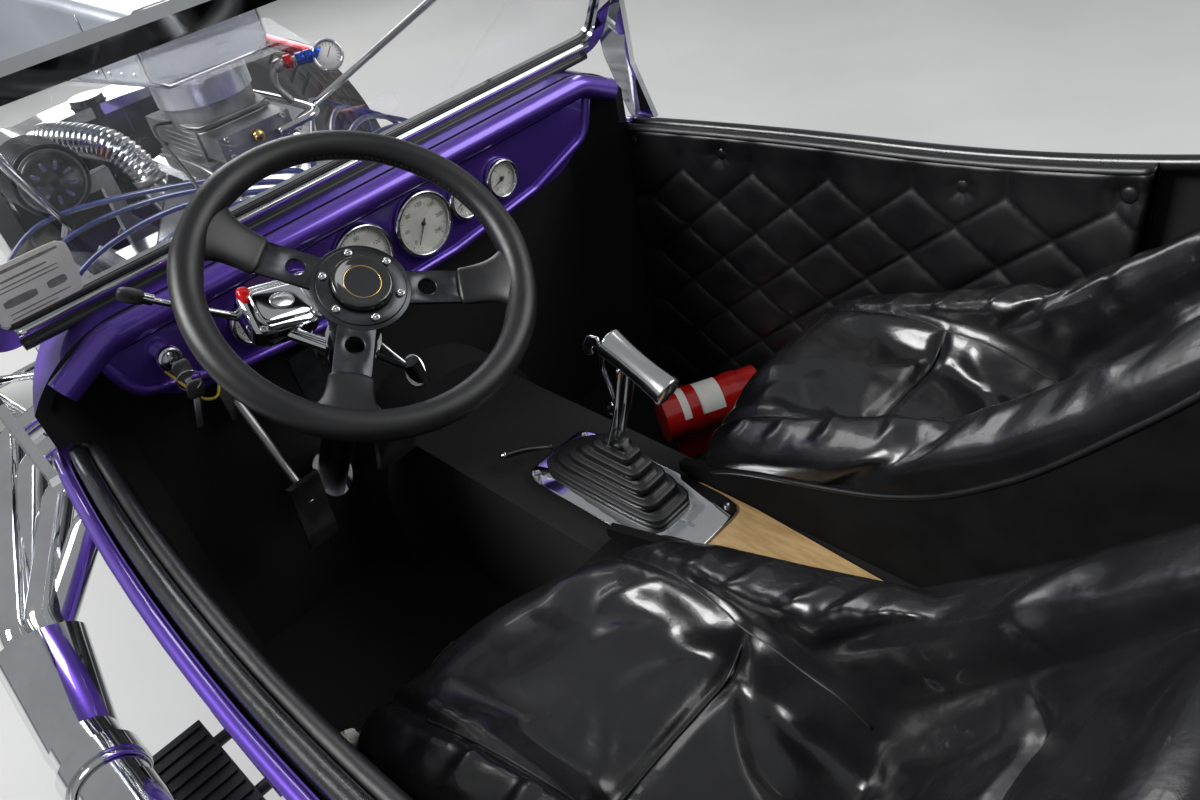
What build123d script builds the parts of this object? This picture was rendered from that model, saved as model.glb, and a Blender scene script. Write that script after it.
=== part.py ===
"""An open two-seat hot rod of the bucket kind: a narrow tub on a ladder frame, an open V8 ahead of it,
a beam axle in front and a live axle behind. Millimetres, +X forward, +Y to the driver's side, +Z up.
The origin is on the ground, under the centre of the bounding box.
"""

import os
from math import cos, radians, sin

from build123d import *

# Wheels and axles
FRONT_AXLE_X = 1350.0
REAR_AXLE_X = -1280.0
FRONT_TYRE_R = 350.0
FRONT_TYRE_W = 165.0
FRONT_TYRE_Y = 665.0  # centre of a front tyre, from the middle
REAR_TYRE_R = 385.0
REAR_TYRE_W = 330.0
REAR_TYRE_Y = 725.0
RIM_R = 195.0
RIM_WALL = 8.0
SPOKES = 5
HUB_R = 36.0
SPINDLE_R = 14.0
SHAFT_GAP = 0.3  # round a shaft that turns
FIT = 0.3  # from one piece to the next

# Steering gear
KINGPIN_Y = 560.0
KINGPIN_R = 10.0
BOSS_R = 25.0
BOSS_H = 60.0
EAR_T = 12.0
EAR_R = 24.0
TIE_ARM = 190.0  # kingpin to the tie rod's joint
DRAG_ARM = 100.0  # kingpin to the drag link's joint, and the pitman arm's length
TIE_ROD_DROP = 26.0
DRAG_LINK_RISE = 26.0
ROD_R = 9.0
RING_R = 16.0
JOINT_PIN_R = 6.0
PITMAN_X = 1010.0
PITMAN_Y = 235.0
AXLE_TUBE_R = 24.0
AXLE_DROP = 45.0

# Frame
RAIL_Y = 300.0
RAIL_W = 50.0
RAIL_H = 76.0
RAIL_FRONT = 1105.0
RISER_X = -1182.0
RISER_W = 50.0
REAR_RAIL_TOP = 558.0
REAR_RAIL_END = -1640.0
REAR_END_X = -1700.0
REAR_BAR_R = 20.0
REAR_BAR_X = REAR_END_X + REAR_BAR_R
HORN_T = 12.0  # the plates that carry the rear bar
CROSS_R = 26.0

# Tub
TUB_BOTTOM = 300.0
SIDE_TOP = 797.0  # the side's edge where it meets the cowl
TUB_REAR_TOP = 925.0
FIREWALL_X = -115.0
COWL_REAR_X = -195.0
COWL_TOP = 905.0
TUB_REAR_X = -1275.0
NOTCH_X = -1175.0  # behind this the floor steps up over the frame
WALL = 14.0
SIDE_LEAN = 14.0  # the sides draw in by this much down to the floor
TUNNEL_Y = 95.0
TUNNEL_TOP = 552.0
TUNNEL_WALL = 8.0
HUMP_R = 150.0  # round the clutch housing
HUMP_LENGTH = 100.0
DASH_X = -200.0
DASH_Z = 820.0  # height of the dials' centres

# Windscreen, its frame in a leaning plane
SCREEN_FOOT = (-158.0, 921.0)
SCREEN_LEAN = 28.0  # degrees back from upright
SCREEN_W = 936.0
SCREEN_H = 310.0
SCREEN_BAR = 26.0
SCREEN_T = 18.0
GLASS_T = 6.0

# Steering wheel, from its hub's face, and its column
HUB_X = -438.0
HUB_Y = 177.0
HUB_Z = 914.0
COLUMN_TILT = 52.6  # degrees of the column below the horizontal
WHEEL_TURN = -43.7  # the wheel is parked turned
GRIP_CIRCLE_R = 160.0
GRIP_R = 15.0
WHEEL_DISH = 25.0
SPOKE_T = 4.0
SPOKE_W = 38.0
SPOKE_ANGLES = (10.9, 169.1, -90.0)
COLUMN_R = 22.0

# Engine
CRANK_Z = 450.0
ENGINE_X = 205.0  # middle of the cylinder heads
HEAD_LENGTH = 500.0
DECK = 229.0
DECK_HALF = 75.0
HEAD_H = 105.0
COVER_H = 66.0
COVER_LENGTH = 480.0
COVER_FINS = 5
FIN_LENGTH = 410.0
BELL_R = 138.0
GEARBOX_R = 82.0
INTAKE_LENGTH = 410.0
CARB_X = 203.0
CARB_BASE = 880.0
CARB_H = 88.0
SCOOP_RISE = 43.0  # from the air horn's rim to the scoop's floor
SCOOP_REAR_X = 133.0
SCOOP_FRONT_X = 583.0
SCOOP_WALL = 4.0
RADIATOR_X = 790.0
RADIATOR_LOW = 332.0
GEARBOX_END = -742.0
PUMP_Z = 560.0  # the water pump's shaft, which carries the fan
PULLEY_R = 76.0
FAN_R = 190.0
FAN_BLADES = 6
CAP_R = 46.0  # distributor cap
CAP_LOW = 750.0
CAP_TOP = 812.0
TOWER_RING_R = 27.0
TOWER_TOP = 826.0
TOWER_R = 6.0

# Side pipes
PIPE_Y = 628.0
PIPE_Z = 415.0
PIPE_R = 44.5
PRIMARY_R = 22.0
PIPE_START_X = -165.0
PIPE_END_X = -790.0

# Seats
SEAT_Y = 251.0
SEAT_HALF = 190.0
BOLSTER_W = 84.0
SHELL_T = 12.0
SEAT_FRONT = -600.0
SEAT_FEET = ((1, 247.0), (-1, 303.0))  # side, where the back cushion starts ahead of the tub's rear wall

NOTCH_Z = REAR_RAIL_TOP + 4.0
SEAT_LOW = TUB_BOTTOM + WALL + FIT
CARB_TOP = CARB_BASE + CARB_H
SCOOP_Z = CARB_TOP + SCOOP_RISE
RAIL_TOP = TUB_BOTTOM - FIT
RAIL_Z = RAIL_TOP - RAIL_H / 2
ARM_Z = FRONT_TYRE_R - BOSS_H / 2 - FIT - EAR_T / 2
TIE_ROD_Z = ARM_Z - TIE_ROD_DROP
DRAG_LINK_Z = ARM_Z + DRAG_LINK_RISE
COLUMN_DOWN = Vector(cos(radians(COLUMN_TILT)), 0, -sin(radians(COLUMN_TILT)))
COLUMN_RISE = Vector(sin(radians(COLUMN_TILT)), 0, cos(radians(COLUMN_TILT)))
WHEEL_HUB = Vector(HUB_X, HUB_Y, HUB_Z)
COLUMN_END = (FIREWALL_X + 40 - HUB_X) / cos(radians(COLUMN_TILT))


def keep(name, part):
    """Labels a finished piece and writes it."""
    part.label = name
    export_step(part, f"parts/{name}.step")


def pipe(points, radius, bend):
    """A round bar along straight runs joined by bends."""
    with BuildLine() as route:
        if len(points) > 2:
            FilletPolyline(*points, radius=bend)
        else:
            Line(*points)
    with BuildSketch(Plane(origin=route.line @ 0, z_dir=route.line % 0)) as section:
        Circle(radius)
    sweep(sections=section.sketch, path=route.line)


def roll(points, radius):
    """A stuffed roll: straight stretches from ring to ring, each square to the way through its point."""
    spots = [Vector(*point) for point in points]
    rings = []
    for index, spot in enumerate(spots):
        before, after = spots[max(index - 1, 0)], spots[min(index + 1, len(spots) - 1)]
        with BuildSketch(Plane(origin=spot, x_dir=(0, 0, 1), z_dir=after - before)) as ring:
            Circle(radius)
        rings.append(ring.sketch)
    loft(sections=rings, ruled=True)


def slab(plane, points, amount, both=False, mode=Mode.ADD):
    """A plate with straight edges, its outline given on a plane."""
    with BuildSketch(plane) as face:
        with BuildLine():
            Polyline(*points, close=True)
        make_face()
    extrude(to_extrude=face.sketch, amount=amount, both=both, mode=mode)


def block(low, high, mode=Mode.ADD):
    """An upright block from its lowest to its highest corner."""
    size = [top - base for base, top in zip(low, high)]
    middle = [(top + base) / 2 for base, top in zip(low, high)]
    with Locations(tuple(middle)):
        Box(*size, mode=mode)


def bar(start, end, radius, mode=Mode.ADD):
    """A straight round bar between two points."""
    first, last = Vector(*start), Vector(*end)
    with Locations(Plane(origin=(first + last) / 2, z_dir=last - first)):
        Cylinder(radius, (last - first).length, mode=mode)


def cone(start, end, start_r, end_r, mode=Mode.ADD):
    """A straight round cone between two points."""
    first, last = Vector(*start), Vector(*end)
    with Locations(Plane(origin=(first + last) / 2, z_dir=last - first)):
        Cone(start_r, end_r, (last - first).length, mode=mode)


def side_plane(y):
    """The XZ plane at y, so that sketch points read (x, z); it is extruded towards -Y."""
    return Plane(origin=(0, y, 0), x_dir=(1, 0, 0), z_dir=(0, -1, 0))


def cross_plane(x):
    """The YZ plane at x, so that sketch points read (y, z); it is extruded towards +X."""
    return Plane(origin=(x, 0, 0), x_dir=(0, 1, 0), z_dir=(1, 0, 0))


def on_column(distance, side=0.0, rise=0.0):
    """A point along the column from the wheel's hub, moved to the left and square to the column."""
    point = WHEEL_HUB + COLUMN_DOWN * distance + Vector(0, side, 0) + COLUMN_RISE * rise
    return (point.X, point.Y, point.Z)


# Half of the tub's plan at the side's top edge: the cowl sweeps out from the firewall, the side is one
# long arc, and the rear corner is round.
COWL_CORNER_Y = 385.0
COWL_MID = (-165.0, 445.0)
SIDE_FRONT = (-260.0, 484.0)
SIDE_MID = (-700.0, 518.0)
SIDE_REAR = (TUB_REAR_X + 105.0, 497.0)
REAR_CORNER_MID = (TUB_REAR_X + 30.0, 468.0)
REAR_CORNER_Y = 395.0
BEYOND = 600.0  # further out than the tub's sides


def tub_plan(height, inset=0.0):
    """The tub's outline in plan at a height, drawn in by inset; its sides lean in towards the floor."""
    front, rear = FIREWALL_X - inset, TUB_REAR_X + inset
    lean = SIDE_LEAN * max(0.0, SIDE_TOP - height) / (SIDE_TOP - TUB_BOTTOM)
    slant = 0.7 * inset
    side_front = (SIDE_FRONT[0], SIDE_FRONT[1] - inset - lean)
    side_mid = (SIDE_MID[0], SIDE_MID[1] - inset - lean)
    side_rear = (SIDE_REAR[0], SIDE_REAR[1] - inset - lean)
    cowl_mid = (COWL_MID[0] - slant, COWL_MID[1] - slant - 0.7 * lean)
    rear_mid = (REAR_CORNER_MID[0] + slant, REAR_CORNER_MID[1] - slant - 0.7 * lean)
    with BuildSketch(Plane.XY.offset(height)) as plan:
        with BuildLine():
            Line((front, 0), (front, COWL_CORNER_Y))
            ThreePointArc((front, COWL_CORNER_Y), cowl_mid, side_front)
            ThreePointArc(side_front, side_mid, side_rear)
            ThreePointArc(side_rear, rear_mid, (rear, REAR_CORNER_Y))
            Line((rear, REAR_CORNER_Y), (rear, 0))
            mirror(about=Plane.XZ)
        make_face()
    return plan.sketch


def tub_form(bottom, inset):
    """The tub's leaning sides from a height up, drawn in by inset, with no shape to the top yet."""
    with BuildPart() as form:
        loft(sections=[tub_plan(bottom, inset), tub_plan(SIDE_TOP, inset)], ruled=True)
        extrude(to_extrude=tub_plan(SIDE_TOP, inset), amount=200)
    return form.part


COWL_CROWN = 352.0
COWL_SHOULDER = (432.0, 876.0)
COWL_FOOT = 492.0
SIDE_RISE_FROM = (-649.0, 813.0)
SIDE_RISE_MID = (-893.0, 837.0)
SIDE_RISE_TO = (TUB_REAR_X + 35.0, TUB_REAR_TOP)


def cowl_form(front, rear, inset):
    """What lies under the cowl: a flat crown with round shoulders."""
    top, foot = COWL_TOP - inset, COWL_FOOT - inset
    shoulder = (COWL_SHOULDER[0] - 0.7 * inset, COWL_SHOULDER[1] - 0.7 * inset)
    low = TUB_BOTTOM - 50
    with BuildPart() as form:
        with BuildSketch(cross_plane(rear)) as arch:
            with BuildLine():
                Line((0, top), (COWL_CROWN, top))
                ThreePointArc((COWL_CROWN, top), shoulder, (foot, SIDE_TOP))
                Polyline((foot, SIDE_TOP), (foot, low), (0, low))
                mirror(about=Plane.YZ)
            make_face()
        extrude(to_extrude=arch.sketch, amount=front - rear)
    return form.part


def side_form(drop=0.0):
    """What lies under the cockpit's edge: nearly level beside the seats, swept up behind them."""
    low, rear = TUB_BOTTOM - 50, TUB_REAR_X - 5
    start, middle, end = [(x, z - drop) for x, z in (SIDE_RISE_FROM, SIDE_RISE_MID, SIDE_RISE_TO)]
    with BuildPart() as form:
        with BuildSketch(side_plane(BEYOND)) as outline:
            with BuildLine():
                Polyline((COWL_REAR_X, low), (COWL_REAR_X, SIDE_TOP - drop), start)
                ThreePointArc(start, middle, end)
                Polyline(end, (rear, end[1]), (rear, low), (COWL_REAR_X, low))
            make_face()
        extrude(to_extrude=outline.sketch, amount=2 * BEYOND)
    return form.part


def tunnel_form(inset):
    """The tunnel with the round hump at its front, over the gearbox and the clutch housing."""
    with BuildPart() as form:
        half, top = TUNNEL_Y - inset, TUNNEL_TOP - inset
        block((TUB_REAR_X - 5, -half, TUB_BOTTOM - 60), (FIREWALL_X + 5, half, top))
        rear = FIREWALL_X - HUMP_LENGTH + inset
        bar((rear, 0, CRANK_Z), (FIREWALL_X + 5, 0, CRANK_Z), HUMP_R - inset)
        block((rear, -(HUMP_R - inset), TUB_BOTTOM - 60), (FIREWALL_X + 5, HUMP_R - inset, CRANK_Z))
    return form.part


def body_shell():
    outer = tub_form(TUB_BOTTOM, 0.0)
    cowl = cowl_form(FIREWALL_X, COWL_REAR_X, 0.0)
    sides = side_form()
    inner = tub_form(TUB_BOTTOM + WALL, WALL)
    under_cowl = cowl_form(FIREWALL_X, COWL_REAR_X, WALL)
    ridge, hollow = tunnel_form(0.0), tunnel_form(TUNNEL_WALL)
    with BuildPart() as top:
        add(cowl)
        add(sides)
    with BuildPart() as room:
        add(under_cowl)
        block((TUB_REAR_X - 5, -BEYOND, TUB_BOTTOM - 50), (COWL_REAR_X, BEYOND, COWL_TOP + BEYOND))
        add(inner, mode=Mode.INTERSECT)
        add(ridge, mode=Mode.SUBTRACT)
        step = (NOTCH_X + WALL, BEYOND, NOTCH_Z + WALL)
        block((TUB_REAR_X - 5, -BEYOND, TUB_BOTTOM - 50), step, Mode.SUBTRACT)
    with BuildPart() as body:
        add(outer)
        add(top.part, mode=Mode.INTERSECT)
        add(room.part, mode=Mode.SUBTRACT)
        add(hollow, mode=Mode.SUBTRACT)
        block((TUB_REAR_X - 5, -BEYOND, TUB_BOTTOM - 50), (NOTCH_X, BEYOND, NOTCH_Z), Mode.SUBTRACT)
        bar(on_column(COLUMN_END - 130), on_column(COLUMN_END), COLUMN_R + 8, Mode.SUBTRACT)
    keep("body_shell", body.part)


def arc_at(points, x):
    """The height at x of the flat arc through three points, whose crown or hollow faces away from zero."""
    (x1, y1), (x2, y2), (x3, y3) = points
    d = 2 * (x1 * (y2 - y3) + x2 * (y3 - y1) + x3 * (y1 - y2))
    s1, s2, s3 = x1 * x1 + y1 * y1, x2 * x2 + y2 * y2, x3 * x3 + y3 * y3
    cx = (s1 * (y2 - y3) + s2 * (y3 - y1) + s3 * (y1 - y2)) / d
    cy = (s1 * (x3 - x2) + s2 * (x1 - x3) + s3 * (x2 - x1)) / d
    reach = ((x1 - cx) ** 2 + (y1 - cy) ** 2 - (x - cx) ** 2) ** 0.5
    return cy + reach if y2 > cy else cy - reach


def side_top(x):
    """Height of the side's top edge at x."""
    (x1, z1), (x2, z2) = (COWL_REAR_X, SIDE_TOP), SIDE_RISE_FROM
    if x >= x2:
        return z1 + (z2 - z1) * (x1 - x) / (x1 - x2)
    return arc_at((SIDE_RISE_FROM, SIDE_RISE_MID, SIDE_RISE_TO), x)


BOARD_T = 37.0
BOARD_DROP = 6.0  # the boards stop this far below the edge
BOARD_FRONT = -222.0
BOARD_REAR = -958.0
EDGE_ROLLS = (  # radius, distance in from the tub's outline, height over the side's top
    (9.0, 27.0, -6.5),
    (8.0, 43.3, -9.0),
)
ROLL_STATIONS = (-232.0, -440.0, -649.0, -740.0, -830.0, -900.0, -958.0, -1030.0, -1100.0)


def side_trim():
    """The padded boards inside the cockpit's sides, round along the top, and the rolls outside them."""
    base = TUB_BOTTOM + WALL + 10
    outer = tub_form(base, WALL + FIT)
    inner = tub_form(base - 5, WALL + FIT + BOARD_T)
    under = side_form(BOARD_DROP)
    with BuildPart() as trim:
        add(outer)
        add(inner, mode=Mode.SUBTRACT)
        add(under, mode=Mode.INTERSECT)
        block((BOARD_REAR, -BEYOND, base), (BOARD_FRONT, BEYOND, COWL_TOP), Mode.INTERSECT)
        for radius, inward, above in EDGE_ROLLS:
            path = []
            for x in ROLL_STATIONS:
                half = arc_at((SIDE_FRONT, SIDE_MID, SIDE_REAR), x) - inward
                path.append((x, half, side_top(x) + above + radius))
            roll(path, radius)
            roll([(x, -y, z) for x, y, z in path], radius)
    keep("side_trim", trim.part)


COIL_TOP_X = REAR_AXLE_X - 60
COIL_TOP_Z = REAR_RAIL_TOP - 46


def frame_rails():
    """The ladder frame: two rails kicked up at the back, cross-members, engine mounts, the rear bar."""
    low = RAIL_TOP - RAIL_H
    rail = (
        (RAIL_FRONT, RAIL_TOP),
        (RISER_X, RAIL_TOP),
        (RISER_X, REAR_RAIL_TOP),
        (REAR_RAIL_END, REAR_RAIL_TOP),
        (REAR_RAIL_END, REAR_RAIL_TOP - RAIL_H),
        (RISER_X - RISER_W, REAR_RAIL_TOP - RAIL_H),
        (RISER_X - RISER_W, low),
        (RAIL_FRONT, low),
    )
    inside = RAIL_Y - RAIL_W / 2 + 2
    rear_z = REAR_RAIL_TOP - RAIL_H / 2
    with BuildPart() as frame:
        slab(side_plane(RAIL_Y + RAIL_W / 2), rail, RAIL_W)
        slab(side_plane(-RAIL_Y + RAIL_W / 2), rail, RAIL_W)
        for x, z, radius in (
            (RAIL_FRONT - CROSS_R, RAIL_Z, CROSS_R),
            (RADIATOR_X, RAIL_Z - 8, 14.0),
            (-400.0, RAIL_Z, 22.0),
            (REAR_RAIL_END + 40, rear_z, CROSS_R),
            (COIL_TOP_X, COIL_TOP_Z + 20 + FIT, 20.0),
        ):
            bar((x, -inside, z), (x, inside, z), radius)
        block((-430, -30, RAIL_Z), (-370, 30, CRANK_Z - GEARBOX_R - FIT))
        for y in (-120, 120):
            block((RADIATOR_X - 11, y - 15, RAIL_Z - 8), (RADIATOR_X + 11, y + 15, RADIATOR_LOW - FIT))
        for side in (1, -1):
            bar((ENGINE_X, side * inside, RAIL_Z + 10), (ENGINE_X, side * 150, 345), 14)
            near, far = sorted((side * 141, side * 155))
            block((ENGINE_X - 45, near, 325), (ENGINE_X + 45, far, 375))
        slab(side_plane(35), perch_outline(), 70)
        for side in (1, -1):
            horn = (
                (REAR_RAIL_END, rear_z - REAR_BAR_R),
                (REAR_RAIL_END, rear_z + REAR_BAR_R),
                (REAR_BAR_X, rear_z + REAR_BAR_R),
                (REAR_END_X, rear_z),
                (REAR_BAR_X, rear_z - REAR_BAR_R),
            )
            slab(side_plane(side * RAIL_Y + HORN_T / 2), horn, HORN_T)
        bar((REAR_BAR_X, -RAIL_Y, rear_z), (REAR_BAR_X, RAIL_Y, rear_z), REAR_BAR_R)
    keep("frame_rails", frame.part)


SPRING_X = 1285.0
SPRING_W = 45.0
SPRING_T = 24.0
SPRING_EYE_Y = 352.0
SPRING_EYE_Z = 330.0
PERCH_TOP = 366.0
PERCH_BOTTOM = 322.0


def perch_outline():
    """The arm that carries the front spring ahead of the first cross-member."""
    cross = RAIL_FRONT - CROSS_R
    return (
        (cross - 15, RAIL_Z - 10),
        (cross - 15, RAIL_Z + 20),
        (cross + 60, PERCH_TOP),
        (SPRING_X + 35, PERCH_TOP),
        (SPRING_X + 35, PERCH_BOTTOM),
        (cross + 75, PERCH_BOTTOM),
        (cross + 15, RAIL_Z - 10),
    )


HAIRPIN_X = 720.0
HAIRPIN_Y = 352.0
HAIRPIN_SPREAD = ((335.0, 9.0), (240.0, 9.0))  # height at the axle, radius of each leg


def front_axle():
    """A dropped tube axle with kingpins in its bosses, its cross spring and its hairpin rods."""
    x, z = FRONT_AXLE_X, FRONT_TYRE_R
    low = z - AXLE_DROP
    half = SPRING_W / 2
    with BuildPart() as axle:
        beam = []
        for y, height in ((-538, z), (-470, z), (-395, low), (395, low), (470, z), (538, z)):
            beam.append((x, y, height))
        pipe(beam, AXLE_TUBE_R, 70)
        for side in (1, -1):
            bar((x, side * KINGPIN_Y, z - BOSS_H / 2), (x, side * KINGPIN_Y, z + BOSS_H / 2), BOSS_R)
            pin = BOSS_H / 2 + FIT + EAR_T + 4
            bar((x, side * KINGPIN_Y, z - pin), (x, side * KINGPIN_Y, z + pin), KINGPIN_R)
            inner, outer = min(side * 434, side * 446), max(side * 434, side * 446)
            block((x - 14, inner, 230), (x + 14, outer, 350))
            end = (HAIRPIN_X, side * HAIRPIN_Y, RAIL_Z)
            for height, radius in HAIRPIN_SPREAD:
                bar((x - 4, side * 440, height), end, radius)
            rail_side = side * (RAIL_Y + RAIL_W / 2 + FIT)
            bar((HAIRPIN_X, rail_side, RAIL_Z), (HAIRPIN_X, side * (HAIRPIN_Y + 12), RAIL_Z), 13)
            inner, outer = min(side * 336, side * 348), max(side * 336, side * 348)
            bow = SPRING_X - 18
            hanger = ((x + 8, low - 10), (x + 8, low + 20), (bow, low + 50), (bow, low + 22))
            slab(side_plane(outer), hanger, outer - inner)
        with BuildSketch(cross_plane(SPRING_X - half)) as leaf:
            with BuildLine():
                eye, low, high = SPRING_EYE_Y, SPRING_EYE_Z, SPRING_EYE_Z + 0.6 * SPRING_T
                ThreePointArc((-eye, low), (0, PERCH_TOP + 3 * FIT), (eye, low))
                Line((eye, low), (eye, high))
                ThreePointArc((eye, high), (0, PERCH_TOP + FIT + SPRING_T), (-eye, high))
                Line((-eye, high), (-eye, low))
            make_face()
        extrude(to_extrude=leaf.sketch, amount=SPRING_W)
    keep("front_axle", axle.part)


def knuckle(name, side, drag):
    """A steering knuckle: a fork on the kingpin, the spindle, and the arm for the tie rod."""
    x, z, y = FRONT_AXLE_X, FRONT_TYRE_R, KINGPIN_Y
    gap = BOSS_H / 2 + FIT
    plate = BOSS_R + 1
    with BuildPart() as fork:
        for low in (z + gap, z - gap - EAR_T):
            bar((x, y, low), (x, y, low + EAR_T), EAR_R)
            block((x - EAR_R, y, low), (x + EAR_R, y + plate + 12, low + EAR_T))
        block((x - EAR_R, y + plate, z - gap - EAR_T), (x + EAR_R, y + plate + 12, z + gap + EAR_T))
        bar((x, y + plate + 5, z), (x, FRONT_TYRE_Y + 42, z), SPINDLE_R)
        bar((x, y + plate + 5, z), (x, FRONT_TYRE_Y - 52, z), 26)
        block((x - TIE_ARM, y - 11, z - gap - EAR_T), (x, y + 11, z - gap))
        bar((x - TIE_ARM, y, z - gap - EAR_T), (x - TIE_ARM, y, z - gap), 14)
        bar((x - TIE_ARM, y, TIE_ROD_Z - 14), (x - TIE_ARM, y, z - gap), JOINT_PIN_R)
        if drag:
            bar((x - DRAG_ARM, y, z - gap), (x - DRAG_ARM, y, DRAG_LINK_Z + 14), JOINT_PIN_R)
        bar((x, y, z - 80), (x, y, z + 80), KINGPIN_R + SHAFT_GAP, Mode.SUBTRACT)
        if side < 0:
            mirror(about=Plane.XZ, mode=Mode.REPLACE)
    keep(name, fork.part)


def link(name, start, end):
    """A rod with a ring at each end, round the pins it joins."""
    first, last = Vector(*start), Vector(*end)
    along = (last - first).normalized()
    with BuildPart() as rod:
        a, b = first + along * (RING_R - 3), last - along * (RING_R - 3)
        bar((a.X, a.Y, a.Z), (b.X, b.Y, b.Z), ROD_R)
        for point in (start, end):
            px, py, pz = point
            bar((px, py, pz - ROD_R - 1), (px, py, pz + ROD_R + 1), RING_R)
        for point in (start, end):
            px, py, pz = point
            bar((px, py, pz - 40), (px, py, pz + 40), JOINT_PIN_R + SHAFT_GAP, Mode.SUBTRACT)
    keep(name, rod.part)


def pitman_arm():
    """The arm on the steering box's shaft."""
    low, high = ARM_Z - EAR_T / 2, ARM_Z + EAR_T / 2
    with BuildPart() as arm:
        bar((PITMAN_X, PITMAN_Y, low), (PITMAN_X, PITMAN_Y, high), 20)
        block((PITMAN_X - DRAG_ARM, PITMAN_Y - 11, low), (PITMAN_X, PITMAN_Y + 11, high))
        bar((PITMAN_X - DRAG_ARM, PITMAN_Y, low), (PITMAN_X - DRAG_ARM, PITMAN_Y, high), 14)
        pin_x = PITMAN_X - DRAG_ARM
        bar((pin_x, PITMAN_Y, low), (pin_x, PITMAN_Y, DRAG_LINK_Z + 14), JOINT_PIN_R)
        bar((PITMAN_X, PITMAN_Y, low - 5), (PITMAN_X, PITMAN_Y, high + 5), 8 + SHAFT_GAP, Mode.SUBTRACT)
    keep("pitman_arm", arm.part)


def tyre(name, x, y, radius, width):
    """A tyre with round shoulders, from its beads to its tread."""
    half, bead = width / 2, width / 2 - 27
    inner = RIM_R + FIT
    shoulder = radius - 30
    with BuildPart() as ring:
        with BuildSketch(Plane(origin=(x, y, radius), x_dir=(0, 1, 0), z_dir=(1, 0, 0))) as section:
            with BuildLine():
                Polyline((-bead, inner + 16), (-bead, inner), (bead, inner), (bead, inner + 16))
                bulge = (inner + shoulder) / 2 - 5
                ThreePointArc((bead, inner + 16), (half - 2, bulge), (half - 6, shoulder))
                ThreePointArc((half - 6, shoulder), (half - 14, radius - 9), (half - 34, radius))
                Line((half - 34, radius), (34 - half, radius))
                ThreePointArc((34 - half, radius), (14 - half, radius - 9), (6 - half, shoulder))
                ThreePointArc((6 - half, shoulder), (2 - half, bulge), (-bead, inner + 16))
            make_face()
        revolve(profiles=section.sketch, axis=Axis((x, y, radius), (0, 1, 0)), revolution_arc=360)
    keep(name, ring.part)


def rim(name, x, y, radius, width, side, offset_in):
    """A five-spoke wheel: a dropped barrel with lips, straight spokes and a hub on its shaft."""
    half = width / 2 - 18
    face = y + side * (half - offset_in)
    with BuildPart() as wheel:
        with BuildSketch(Plane(origin=(x, y, radius), x_dir=(0, 1, 0), z_dir=(1, 0, 0))) as section:
            with BuildLine():
                outline = (
                    (-half, RIM_R),
                    (-half, RIM_R + 12),
                    (-half + 6, RIM_R + 12),
                    (-half + 8, RIM_R),
                    (half - 8, RIM_R),
                    (half - 6, RIM_R + 12),
                    (half, RIM_R + 12),
                    (half, RIM_R - RIM_WALL),
                    (-half, RIM_R - RIM_WALL),
                )
                Polyline(*outline, close=True)
            make_face()
        revolve(profiles=section.sketch, axis=Axis((x, y, radius), (0, 1, 0)), revolution_arc=360)
        bar((x, face - 22, radius), (x, face + 22, radius), HUB_R + 26)
        hub_in = y - side * 10
        bar((x, min(hub_in, face), radius), (x, max(hub_in, face), radius), HUB_R)
        for index in range(SPOKES):
            turn = index * 360.0 / SPOKES + 90
            out = Vector(cos(radians(turn)), 0, sin(radians(turn)))
            plane = Plane(origin=(x, face, radius), x_dir=(out.X, 0, out.Z), z_dir=(0, 1, 0))
            spoke = ((HUB_R, -27), (RIM_R - RIM_WALL + 2, -19), (RIM_R - RIM_WALL + 2, 19), (HUB_R, 27))
            slab(plane, spoke, 9, both=True)
        bar((x, y - width, radius), (x, y + width, radius), SPINDLE_R + SHAFT_GAP, Mode.SUBTRACT)
    keep(name, wheel.part)


REAR_ARM_X = -860.0


def rear_axle():
    """The live axle with its centre housing, the shaft to the gearbox, coil-overs and locating arms."""
    x, z = REAR_AXLE_X, REAR_TYRE_R
    with BuildPart() as axle:
        with Locations((x, 0, z)):
            Sphere(97)
        reach = REAR_TYRE_Y + 130
        bar((x, -reach, z), (x, reach, z), SPINDLE_R)
        reach = REAR_TYRE_Y - 172
        bar((x, -reach, z), (x, reach, z), 38)
        for side in (1, -1):
            bar((x, side * (reach - 12), z), (x, side * (reach + 4), z), 75)
            bar((COIL_TOP_X + 22, side * 230, z), (COIL_TOP_X, side * 230, COIL_TOP_Z - 2), 26)
            arm_y = RAIL_Y + RAIL_W / 2 + 18
            bar((x, side * 385, z - 105), (REAR_ARM_X, side * arm_y, RAIL_Z), 13)
            bar((x, side * 385, z - 112), (x, side * 385, z), 20)
            rail_side = side * (RAIL_Y + RAIL_W / 2 + FIT)
            bar((REAR_ARM_X, rail_side, RAIL_Z), (REAR_ARM_X, side * (arm_y + 15), RAIL_Z), 17)
        cone((x + 60, 0, z + 4), (-1120, 0, z + 10), 70, 44)
        bar((-1122, 0, z + 10), (GEARBOX_END - 8, 0, CRANK_Z), 32)
    keep("rear_axle", axle.part)


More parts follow.
